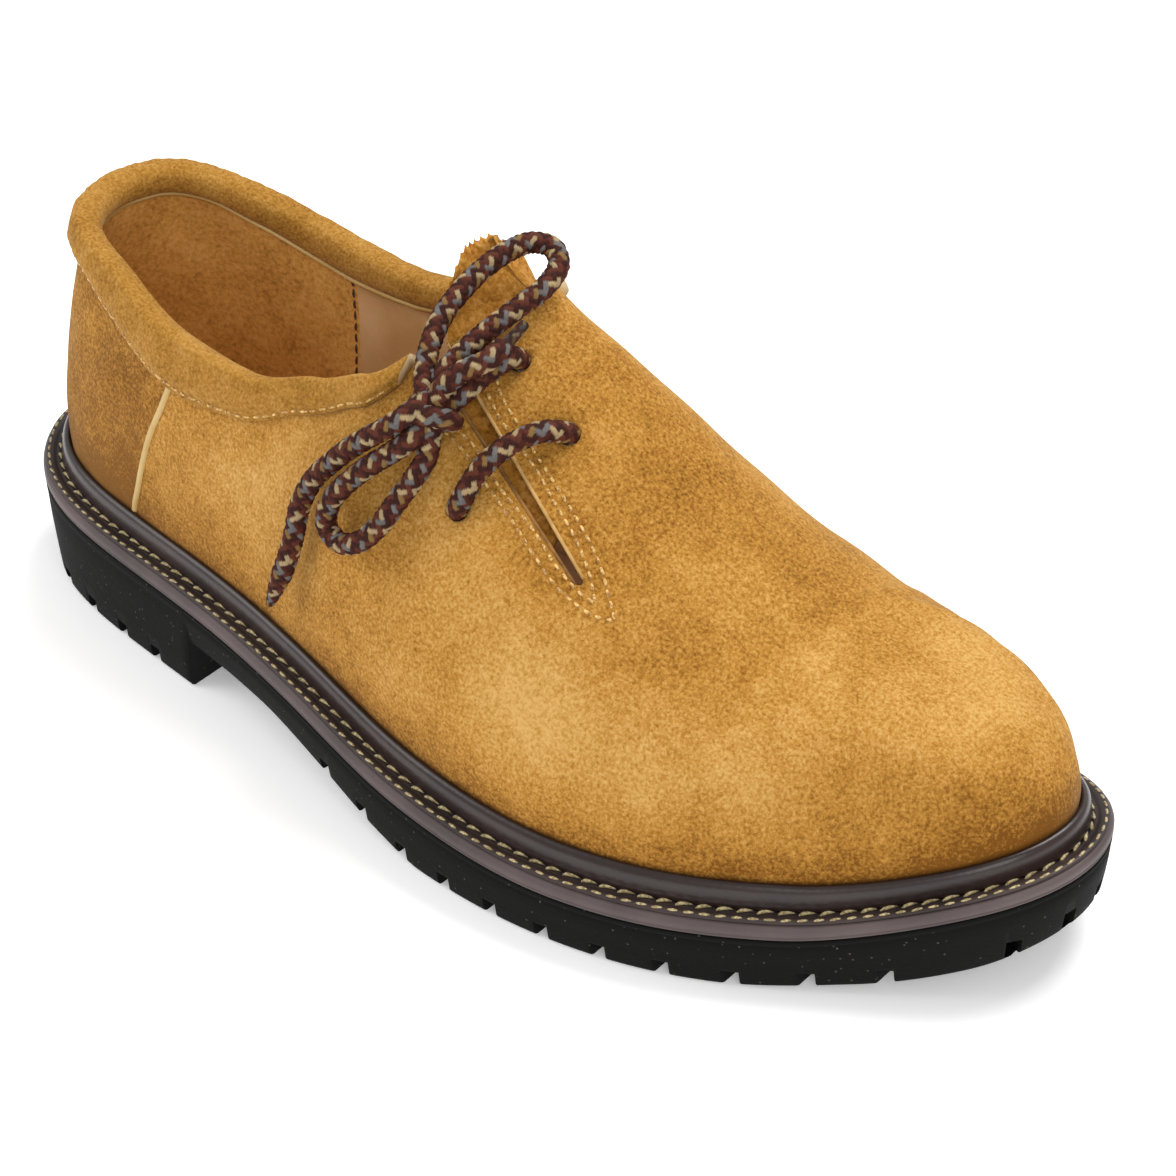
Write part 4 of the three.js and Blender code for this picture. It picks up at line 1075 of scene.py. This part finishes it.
# %% Thin covers that follow the last
def loft(name, points, material, slot, **more):
    """Closed piece. points runs along the piece, then round its section."""
    faces = capped_tube(*points.shape[:2])
    return clean_piece(name, points.reshape(-1, 3), faces, material, slot, **more)


def strip_along(line, normals, section, width):
    """Rows of a strip that lies on a line, with its section given as shares of its width and a rise."""
    across = unit(np.cross(normals, np.gradient(line, axis=0)))
    corners = [line + across * x * width + normals * z for x, z in section]
    return np.stack(corners, 1)


# %% [markdown]
# ## The upper
# The upper is one hollow wall: suede outside, lining inside. The grid is fine enough to hold the
# dents round the lace holes, the lips of the slit, the folds over the ball of the foot and the place
# where the leather dives under the welt. Slit and holes are cut through it afterwards.

# %% Places on the lateral side of the vamp
def place_of(x, y, z):
    return np.array([x * SOLE_LENGTH, y * HALF_BALL, z * INSTEP_HEIGHT])


SLIT_FOOT = place_of(0.6405, -0.4897, 0.6553)
SLIT_HEAD = place_of(0.4673, -0.2638, 0.9711)
SLIT_WAY = np.array([0.32, -0.6, 0.73])
SLIT_FOOT_WIDTH = 1.8
SLIT_HEAD_WIDTH = 5.0
HOLE_DIAMETER = 5.4
hole_centres = [hole_place(number)[0] for number in range(len(LACE_HOLES))]

# Dents of the folds: side, station, share, length along the shoe, reach up the rib, depth in mm
FOLDS = (
    (-1, 5.55, 0.5, 0.16, 0.22, 0.55),
    (-1, 6.15, 0.4, 0.2, 0.2, 0.5),
    (-1, 6.9, 0.35, 0.3, 0.2, 0.4),
    (-1, 3.35, 0.35, 0.25, 0.2, 0.6),
    (1, 5.3, 0.55, 0.2, 0.25, 0.5),
    (1, 6.1, 0.5, 0.22, 0.25, 0.5),
    (1, 3.3, 0.4, 0.3, 0.2, 0.6),
)

PIPING_MARKS = {
    "station": (2.19, 2.21, 2.24, 2.3, 2.4, 2.5, 2.56),
    "share": (0.105, 0.15, 0.2, 0.32, 0.49, 0.64, 0.74),
}
# Paler patches of the nap: side, station, share, length along the shoe, reach up the rib, strength
PATCHES = (
    (-1, 5.0, 0.3, 0.8, 0.22, 0.24),
    (-1, 6.0, 0.3, 0.6, 0.12, 0.16),
    (-1, 6.55, 0.5, 0.5, 0.1, 0.12),
    (-1, 5.88, 0.63, 0.05, 0.014, 0.3),
    (-1, 3.1, 0.45, 0.5, 0.25, 0.14),
    (-1, 6.6, 0.75, 0.8, 0.25, 0.14),
    (1, 8.3, 0.55, 0.9, 0.3, 0.2),
    (-1, 8.4, 0.55, 0.7, 0.25, 0.14),
    (1, 4.8, 0.8, 0.5, 0.3, 0.08),
)


def slit_distance(points):
    """How far a point is from the slit's centre line, and how far up the slit it lies from 0 to 1."""
    along = SLIT_HEAD - SLIT_FOOT
    share = ((points - SLIT_FOOT) @ along) / (along @ along)
    near = SLIT_FOOT + np.clip(share, 0, 1)[..., None] * along
    return np.linalg.norm(points - near, axis=-1), share


def bump_at(u, v):
    """One round hump, 1 high at its middle."""
    return np.exp(-(u**2) - v**2)


def upper_relief(side, station, share, points):
    """Slow waves, folds, dents round the holes and the slit's raised edges, in mm off the last."""
    relief = 0.16 * np.sin(station * 5.1 + share * 7.0) * np.sin(share * 11.0 - station * 2.3)
    relief = relief + 0.12 * np.sin(station * 11.7 - share * 15.0)
    fade = np.clip(share / 0.12, 0, 1)
    relief = relief * fade
    for fold_side, k, s, long, tall, depth in FOLDS:
        if fold_side == side:
            relief = relief - depth * bump_at((station - k) / long, (share - s) / tall)
    relief = relief - 0.5 * (1 - fade) ** 2
    if side < 0:
        for centre in hole_centres:
            far = np.linalg.norm(points - centre, axis=-1)
            relief = relief - 0.9 * np.exp(-((far / 4.6) ** 2)) + 0.3 * np.exp(-(((far - 7.0) / 3.0) ** 2))
        far, up = slit_distance(points)
        inside = (1 / (1 + np.exp(-(up + 0.02) * 40))) * (up < 1.2)
        relief = relief + 0.75 * inside * np.exp(-((far / 3.6) ** 2))
        relief = relief - 0.35 * inside * np.exp(-(((far - 8.5) / 2.2) ** 2))
    return relief


def upper_tone(side, station, share, points):
    """Darker towards the welt and low on the toe, paler where the nap lies flat."""
    rise = points[..., 2] - rubber_top(points[..., 0])
    tone = -0.3 * np.exp(-((rise - 10) / 7.0)) - 0.1 * np.exp(-((rise - 10) / 25.0))
    tone = np.clip(tone, -0.45, 0.4)
    tone = tone - 0.2 * np.exp(-(((station - 8.6) / 0.9) ** 2)) * np.clip(1 - share / 0.35, 0, 1)
    heel_seam = table_at(PIPING_MARKS, "station", share, "share", True)
    tone = tone - 0.24 * (station < heel_seam)
    for patch_side, k, s, long, tall, strength in PATCHES:
        if patch_side == side:
            tone = tone + strength * bump_at((station - k) / long, (share - s) / tall)
    if side < 0:
        far, up = slit_distance(points)
        tone = tone - 0.1 * np.exp(-((far / 9.0) ** 2)) * (up > -0.3)
    tone = tone - 0.1 * np.exp(-(((share - 1) / 0.25) ** 2)) * (station > 4.4)
    return tone


# %% Build the upper wall
LINING_SEAM = 2.62
UPPER_RUNS = ((0, 3, 110), (3, THROAT_STATION, 70), (THROAT_STATION, TOE_STATION, 190))
runs = [np.linspace(a, b, count, endpoint=False) for a, b, count in UPPER_RUNS]
upper_stations = np.concatenate([*runs, [TOE_STATION]])
upper_levels = np.linspace(0, 1, 46)
open_count = int((upper_stations <= THROAT_STATION + 1e-9).sum())


def upper_grid(side, depth, relief_share=1.0):
    k, level = np.meshgrid(upper_stations, upper_levels, indexing="ij")
    share = level * rim_at(k)
    plain = last_point(side, k, share)
    relief = upper_relief(side, k, share, plain) * relief_share
    seam = np.clip(np.minimum(k, TOE_STATION - k) / 0.25, 0, 1)
    ridge = np.where(k >= THROAT_STATION, np.clip((1 - share) / 0.06, 0, 1), 1)
    relief = relief * seam * ridge
    points = plain + last_normal(side, k, share) * (relief - depth)[..., None]
    return points, upper_tone(side, k, share, plain)


rows, columns = len(upper_stations), len(upper_levels)
upper_points, upper_faces, upper_tones, upper_kinds = [], [], [], []
start = 0
for side in SIDES:
    outer, tone = upper_grid(side, 0.0)
    inner, inner_tone = upper_grid(side, UPPER_WALL, 0.4)
    upper_points += [outer.reshape(-1, 3), inner.reshape(-1, 3)]
    upper_tones += [tone.ravel(), np.zeros(inner_tone.size)]
    outer_start, inner_start = start, start + rows * columns
    out_faces = grid_faces(rows, columns, outer_start, flip=side > 0)
    in_faces = grid_faces(rows, columns, inner_start, flip=side < 0)
    station_of_face = np.repeat(upper_stations[:-1], columns - 1)
    upper_faces += [out_faces, in_faces]
    upper_kinds += [np.zeros(len(out_faces)), np.where(station_of_face < LINING_SEAM, 1, 2)]
    for column, count, flip in ((0, rows, side > 0), (columns - 1, open_count, side < 0)):
        a = outer_start + np.arange(count) * columns + column
        b = inner_start + np.arange(count) * columns + column
        strip = np.stack([a[:-1], a[1:], b[1:], b[:-1]], -1)
        upper_faces.append(strip[:, ::-1] if flip else strip)
        upper_kinds.append(np.full(len(strip), 3))
    start += 2 * rows * columns

upper = make_piece(
    "suede_upper", np.concatenate(upper_points), np.concatenate(upper_faces), upper_suede, "suede", ("upper",)
)
for extra in (lining_suede, lining_leather, cut_leather):
    upper.data.materials.append(extra)
upper.data.polygons.foreach_set("material_index", np.concatenate(upper_kinds).astype(int))
store = upper.data.attributes.new("tone", "FLOAT", "POINT")
store.data.foreach_set("value", np.concatenate(upper_tones))
clean_mesh(upper)


# %% Ease the toe's middle
def ease(piece, centre_mm, reach_mm, passes):
    """Relaxes the points round a place, so that no crease is left where the ribs meet."""
    centre = Vector(in_metres(centre_mm).tolist())
    work = bmesh.new()
    work.from_mesh(piece.data)
    near = [vert for vert in work.verts if (vert.co - centre).length < reach_mm * 0.001]
    for _ in range(passes):
        bmesh.ops.smooth_vert(work, verts=near, factor=0.5, use_axis_x=True, use_axis_y=True, use_axis_z=True)
    work.to_mesh(piece.data)
    work.free()
    print("eased", len(near), "points")


POLE_REACH = 13.0
POLE_PASSES = 60
ease(upper, crest_point(-1, POLE_STATION), POLE_REACH, POLE_PASSES)


# %% Directions of the slit
slit_along = unit(SLIT_HEAD - SLIT_FOOT)
slit_length = float(np.linalg.norm(SLIT_HEAD - SLIT_FOOT))
slit_out = unit(SLIT_WAY - slit_along * (SLIT_WAY @ slit_along))
slit_across = unit(np.cross(slit_along, slit_out))
bpy.context.view_layer.update()
upper_tree = BVHTree.FromObject(upper, bpy.context.evaluated_depsgraph_get())


RAY_START = 25.0


def on_suede(points_mm, way):
    """Where lines along a direction meet the suede, and its normals there."""
    spots, normals = [], []
    for point in points_mm:
        origin = Vector(in_metres(point + way * RAY_START).tolist())
        spot, normal, _, _ = upper_tree.ray_cast(origin, Vector((-way).tolist()))
        spots.append(np.array(spot) * 1000 - SHIFT)
        normals.append(np.array(normal))
    return np.array(spots), np.array(normals)


# %% The slit's two edges, laid on the suede before it is cut
LIP_WIDTH = 0.7
LIP_SET = 0.2
LIP_SECTION = ((-0.5, -0.5), (-0.5, 0.1), (0.0, 0.24), (0.5, 0.1), (0.5, -0.5))
slit_share = np.linspace(0.0, 0.96, 90)[:, None]
# Painted shade on the outer edge of the slit and painted light on the inner edge, by their colours.
for hand, word, edge_leather in ((-1, "outer", painted_shade_edge), (1, "inner", lit_edge)):
    half_width = (SLIT_FOOT_WIDTH * (1 - slit_share) + SLIT_HEAD_WIDTH * slit_share) / 2
    edge = SLIT_FOOT + slit_along * slit_share * slit_length + slit_across * hand * (half_width + LIP_SET)
    lip, lip_normals = on_suede(edge, slit_out)
    lip_rows = strip_along(lip, lip_normals, LIP_SECTION, LIP_WIDTH)
    loft(f"slit_lip_{word}", lip_rows, edge_leather, "suede")


# %% Cut the slit and the lace holes
SLIT_CUT_DEPTH = 12.0


def prism(outline_2d, place, x_way, y_way, z_way, half_depth):
    """Closed prism over a flat outline, and its faces."""
    rim = np.array([place + x_way * x + y_way * y for x, y in outline_2d])
    points = np.concatenate([rim - z_way * half_depth, rim + z_way * half_depth])
    return points, capped_tube(2, len(rim))


def arc(diameter, angles):
    return [(diameter / 2 * math.cos(a), diameter / 2 * math.sin(a)) for a in angles]


foot_arc = arc(SLIT_FOOT_WIDTH, np.linspace(math.pi, 2 * math.pi, 8))
circle = arc(HOLE_DIAMETER, np.linspace(0, 2 * math.pi, 21)[:-1])
slit_outline = foot_arc + [(SLIT_HEAD_WIDTH / 2, slit_length), (-SLIT_HEAD_WIDTH / 2, slit_length)]
cutters = [prism(slit_outline, SLIT_FOOT, slit_across, slit_along, slit_out, SLIT_CUT_DEPTH)]
for number in range(len(LACE_HOLES)):
    centre, way = hole_place(number)
    x_way = unit(np.cross(way, [0, 0, 1.0]))
    y_way = np.cross(way, x_way)
    cutters.append(prism(circle, centre, x_way, y_way, way, 3 * UPPER_WALL))

cut_shapes(upper, cutters, cut_leather)


# %% [markdown]
# ## The rolled collar
# The collar is a band of suede stitched low on the outside, turned over a cord of padding and glued
# down inside. Its section is a hook over the rim. Along its lower edge the stitches pull small
# puckers, and at the throat the band ends in a raw cut.

# %% Collar band
CUFF_END = {-1: 3.76, 1: 3.72}
CUFF_GAP = 0.5
CUFF_REACH = {
    "at": (0.0, 1.4, 2.0, 2.6, 3.0, 3.3, 3.8),
    "down": (7.0, 7.0, 10.0, 12.0, 9.0, 7.0, 6.0),
}
# Corners of the section: face (1 outside, 0 rim, -1 inside), share of the reach, thickness, lift
CUFF_ROWS = (
    (1, 1.0, 0.0, 0.0), (1, 1.01, 1.1, 0.0), (1, 0.98, 1.45, 0.0), (1, 0.88, 1.55, 0.0),
    (1, 0.8, 2.15, 0.0), (1, 0.6, 2.95, 0.0), (1, 0.45, 3.15, 0.0), (1, 0.28, 3.1, 0.1),
    (1, 0.12, 2.85, 0.6), (1, 0.0, 2.3, 1.5), (1, 0.0, 1.4, 2.35), (0, 0.0, 0.0, 2.85),
    (-1, 0.0, 0.9, 2.3), (-1, 0.05, 1.75, 1.3), (-1, 0.18, 2.15, 0.2), (-1, 0.36, 2.1, 0.0),
    (-1, 0.52, 1.5, 0.0), (-1, 0.58, 0.7, 0.0), (-1, 0.55, 0.0, 0.0), (-1, 0.25, 0.0, 0.0),
    (0, 0.0, 0.0, 0.45), (1, 0.25, 0.0, 0.0), (1, 0.6, 0.0, 0.0),
)
PUCKER_LINE = 0.86
PUCKER_REACH = 0.12


def rib_length(side, stations):
    shares = np.linspace(0, 1, 25)
    k, s = np.meshgrid(stations, shares, indexing="ij")
    rib = last_point(side, k, s * rim_at(k))
    return np.linalg.norm(np.diff(rib, axis=1), axis=-1).sum(1)


def below_rim(side, stations, down):
    """Shares of the ribs that lie under the rim by a share of the collar's reach."""
    reach = table_at(CUFF_REACH, "down", stations)
    return rim_at(stations) * (1 - down * reach / rib_length(side, stations))


def cuff_places(side, stations):
    """Points of the collar's section at each station. Puckers and swells run along it, in mm."""
    pucker = 0.16 * np.sin(stations * 92.0 + 1.4 * np.sin(stations * 17.0))
    swell = 0.12 * np.sin(stations * 21.0) + 0.1 * np.sin(stations * 47.0 + 1)
    rows = []
    for face, down, skin, lift in CUFF_ROWS:
        share = below_rim(side, stations, down)
        normal = last_normal(side, stations, share)
        depth = UPPER_WALL / 2 if face == 0 else (0 if face > 0 else UPPER_WALL)
        way = -1 if face < 0 else 1
        gap = 0 if face == 0 else CUFF_GAP / 2
        pinch = math.exp(-(((down - PUCKER_LINE) / PUCKER_REACH) ** 2))
        ripple = (pucker * pinch + swell * 0.8) * (face > 0) * min(1, skin)
        out = way * (skin + gap) - depth + ripple
        point = last_point(side, stations, share) + normal * np.asarray(out)[..., None]
        point[..., 2] += lift
        rows.append(point)
    return np.stack(rows, 1)


cuff_lateral, cuff_medial = (cuff_places(side, np.linspace(0, CUFF_END[side], 240)) for side in SIDES)
cuff_rows = np.concatenate([cuff_lateral[::-1], cuff_medial[1:]])
collar = loft("rolled_collar", cuff_rows, collar_suede, "collar_suede", stands_for=("collar_band",))
collar.data.materials.append(cut_leather)
for polygon in collar.data.polygons:
    if len(polygon.vertices) > 4:
        polygon.material_index = 1
print("collar ends at stations", CUFF_END)


# %% Lines on the upper
def surface_line(side, marks, out):
    """Points and normals on the suede through marks of station and share, as a smooth curve."""
    marks = np.array(marks, float)
    gaps = np.concatenate([[0], np.cumsum(np.linalg.norm(np.diff(marks * (1, 4), axis=0), axis=1))])
    smooth = {"t": tuple(gaps / gaps[-1]), "k": tuple(marks[:, 0]), "s": tuple(marks[:, 1])}
    at = np.linspace(0, 1, 160)
    k, s = (table_at(smooth, column, at, "t", True) for column in "ks")
    plain = last_point(side, k, s)
    normal = last_normal(side, k, s)
    relief = upper_relief(side, k, s, plain)
    return plain + normal * (relief + out)[..., None], normal


STITCH_LINE = 0.88
STITCH_OUT = 1.9
for side, word in SIDES.items():
    stations = np.linspace(0.0, CUFF_END[side] - 0.04, 300)
    share = below_rim(side, stations, STITCH_LINE)
    normals = last_normal(side, stations, share)
    line = last_point(side, stations, share) + normals * STITCH_OUT
    stitch_row(f"collar_stitches_{word}", line, normals, upper_thread, 3.0, 2.2, 0.65, 0.0, 11 + side)


# %% [markdown]
# ## Tongue
# The tongue is a loose piece of rough split suede under the throat. Its upper edge is pinked: cut
# with a zigzag iron so that it doesn't fray, and it stands a finger's breadth above the vamp.

# %% Tongue
TONGUE_FRONT = 4.8
TONGUE_STAND = 3.84
TONGUE_REACH = {
    "at": (3.84, 3.95, 4.1, 4.8),
    "lateral": (0.735, 0.66, 0.54, 0.54),
    "medial": (0.8, 0.77, 0.74, 0.74),
}
STAND_LENGTH = {"across": (-1.0, -0.6, 0.0, 0.6, 1.0), "length": (14.0, 16.0, 12.5, 9.5, 4.0)}
TEETH = 17
TOOTH_DEPTH = 1.1
TOOTH_POINTS = 6
TONGUE_LIFT = 0.45


def sheet_faces(rows, columns):
    """Closed sheet of two grids, with one strip of faces all round its edge."""
    size = rows * columns
    grid = np.arange(size).reshape(rows, columns)
    edge = np.concatenate([grid[0, :-1], grid[:-1, -1], grid[-1, :0:-1], grid[:0:-1, 0]])
    after = np.roll(edge, -1)
    wall = np.stack([edge, after, after + size, edge + size], -1)
    return np.concatenate([grid_faces(rows, columns), grid_faces(rows, columns, size, flip=True), wall])


across = np.linspace(-1, 1, TEETH * TOOTH_POINTS + 1)
zigzag = TOOTH_DEPTH * np.sqrt(np.abs(((np.arange(len(across)) / TOOTH_POINTS) % 1) - 0.5) * 2)
chance = np.random.default_rng(8)
worn = chance.normal(0, 0.04, len(across))


def tongue_row(station, depth):
    """Points across the tongue at a depth under the last's surface."""
    halves = []
    for side, word in SIDES.items():
        share = 1 - (1 - table_at(TONGUE_REACH, word, station)) * np.abs(across)
        halves.append(last_point(side, station, share) - last_normal(side, station, share) * depth)
    return np.where((across < 0)[:, None], *halves)


def tongue_rows(depth):
    rows = [tongue_row(k, depth) for k in np.linspace(TONGUE_FRONT, TONGUE_STAND, 30)]
    base = rows[-1]
    way = unit(base - tongue_row(TONGUE_STAND + 0.06, depth))
    length = table_at(STAND_LENGTH, "length", across, "across") - zigzag + worn
    for share in np.linspace(0, 1, 9)[1:]:
        rise = unit(way + np.array([0, 0, TONGUE_LIFT * share]))
        roll = 0.5 * np.sin(across * 9.0 + share * 2.0) * share
        rows.append(base + rise * (length * share)[:, None] + np.array([0, 0, 1.0]) * roll[:, None])
    return np.stack(rows)


tongue_top = tongue_rows(UPPER_WALL + TONGUE_GAP)
tongue_under = tongue_rows(UPPER_WALL + TONGUE_GAP + TONGUE_THICK)
tongue_points = np.concatenate([tongue_top.reshape(-1, 3), tongue_under.reshape(-1, 3)])
tongue_faces = sheet_faces(*tongue_top.shape[:2])
clean_piece("pinked_tongue", tongue_points, tongue_faces, tongue_suede, "tongue_suede", ("tongue",))

# %% [markdown]
# ## Piping, seams and stitches on the suede
# A light strip of leather closes the seam between heel piece and vamp. Two rows of stitches run down
# each side of the slit and meet below it in a point. They hold the facing under the slit's edges.
# All of them are drawn through a few marks of station and share, joined by a smooth curve.

# %% Piping
PIPING_WIDTH = 1.7
PIPING_SECTION = (
    (-0.5, -0.6), (-0.5, 0.1), (-0.35, 0.55), (0.0, 0.7), (0.35, 0.55), (0.5, 0.1), (0.5, -0.6),
)
piping_marks = tuple(zip(PIPING_MARKS["station"], PIPING_MARKS["share"]))
for side, word in SIDES.items():
    line, normals = surface_line(side, piping_marks, 0.0)
    strip = strip_along(line, normals, PIPING_SECTION, PIPING_WIDTH)
    loft(f"heel_piping_{word}", strip, piping_leather, "piping", stands_for=(f"piping_{word}",))

# %% Stitches of the throat and slit
VAMP_ROWS = {
    "medial_outer": (
        (4.15, 0.758), (4.21, 0.74), (4.38, 0.72), (4.59, 0.7), (4.76, 0.685), (4.92, 0.665), (5.03, 0.64),
        (5.12, 0.605), (5.19, 0.575),
    ),
    "medial_inner": (
        (4.12, 0.73), (4.16, 0.72), (4.37, 0.695), (4.56, 0.685), (4.72, 0.665), (4.85, 0.65), (5.0, 0.615),
        (5.09, 0.575),
    ),
    "lateral_inner": (
        (4.05, 0.625), (4.24, 0.625), (4.47, 0.605), (4.7, 0.595), (4.89, 0.575), (5.01, 0.57), (5.09, 0.575),
    ),
    "lateral_outer": (
        (4.0, 0.595), (4.16, 0.605), (4.4, 0.59), (4.56, 0.58), (4.76, 0.56), (4.95, 0.545), (5.08, 0.55),
        (5.19, 0.575),
    ),
}
for number, (word, marks) in enumerate(VAMP_ROWS.items()):
    line, normals = surface_line(-1, marks, 0.12)
    stitch_row(f"slit_stitches_{word}", line, normals, upper_thread, 2.5, 1.75, 0.74, 0.0, 21 + number)

# %% Seam of the lining and its binding
SEAM_OUT = 0.1
BINDING_END = 3.66
BINDING_DOWN = 0.6
BINDING_WIDTH = 1.5
BINDING_SECTION = ((-0.5, -0.2), (-0.5, 1.5), (0.0, 2.0), (0.5, 1.5), (0.5, -0.2))
seam_shares = np.linspace(0.93, 0.25, 80)
for side, word in SIDES.items():
    k = np.full(80, LINING_SEAM)
    share = seam_shares * rim_at(k)
    inward = -last_normal(side, k, share)
    line = last_point(side, k, share) + inward * (UPPER_WALL + SEAM_OUT)
    stitch_row(f"lining_seam_{word}", line, inward, dark_thread, 3.0, 2.6, 0.7, 0.0, 31 + side)
    stations = np.linspace(0.0, BINDING_END, 260)
    share = below_rim(side, stations, BINDING_DOWN)
    inward = -last_normal(side, stations, share)
    line = last_point(side, stations, share) + inward * UPPER_WALL
    binding = strip_along(line, inward, BINDING_SECTION, BINDING_WIDTH)
    loft(f"lining_binding_{word}", binding, piping_leather, "piping")
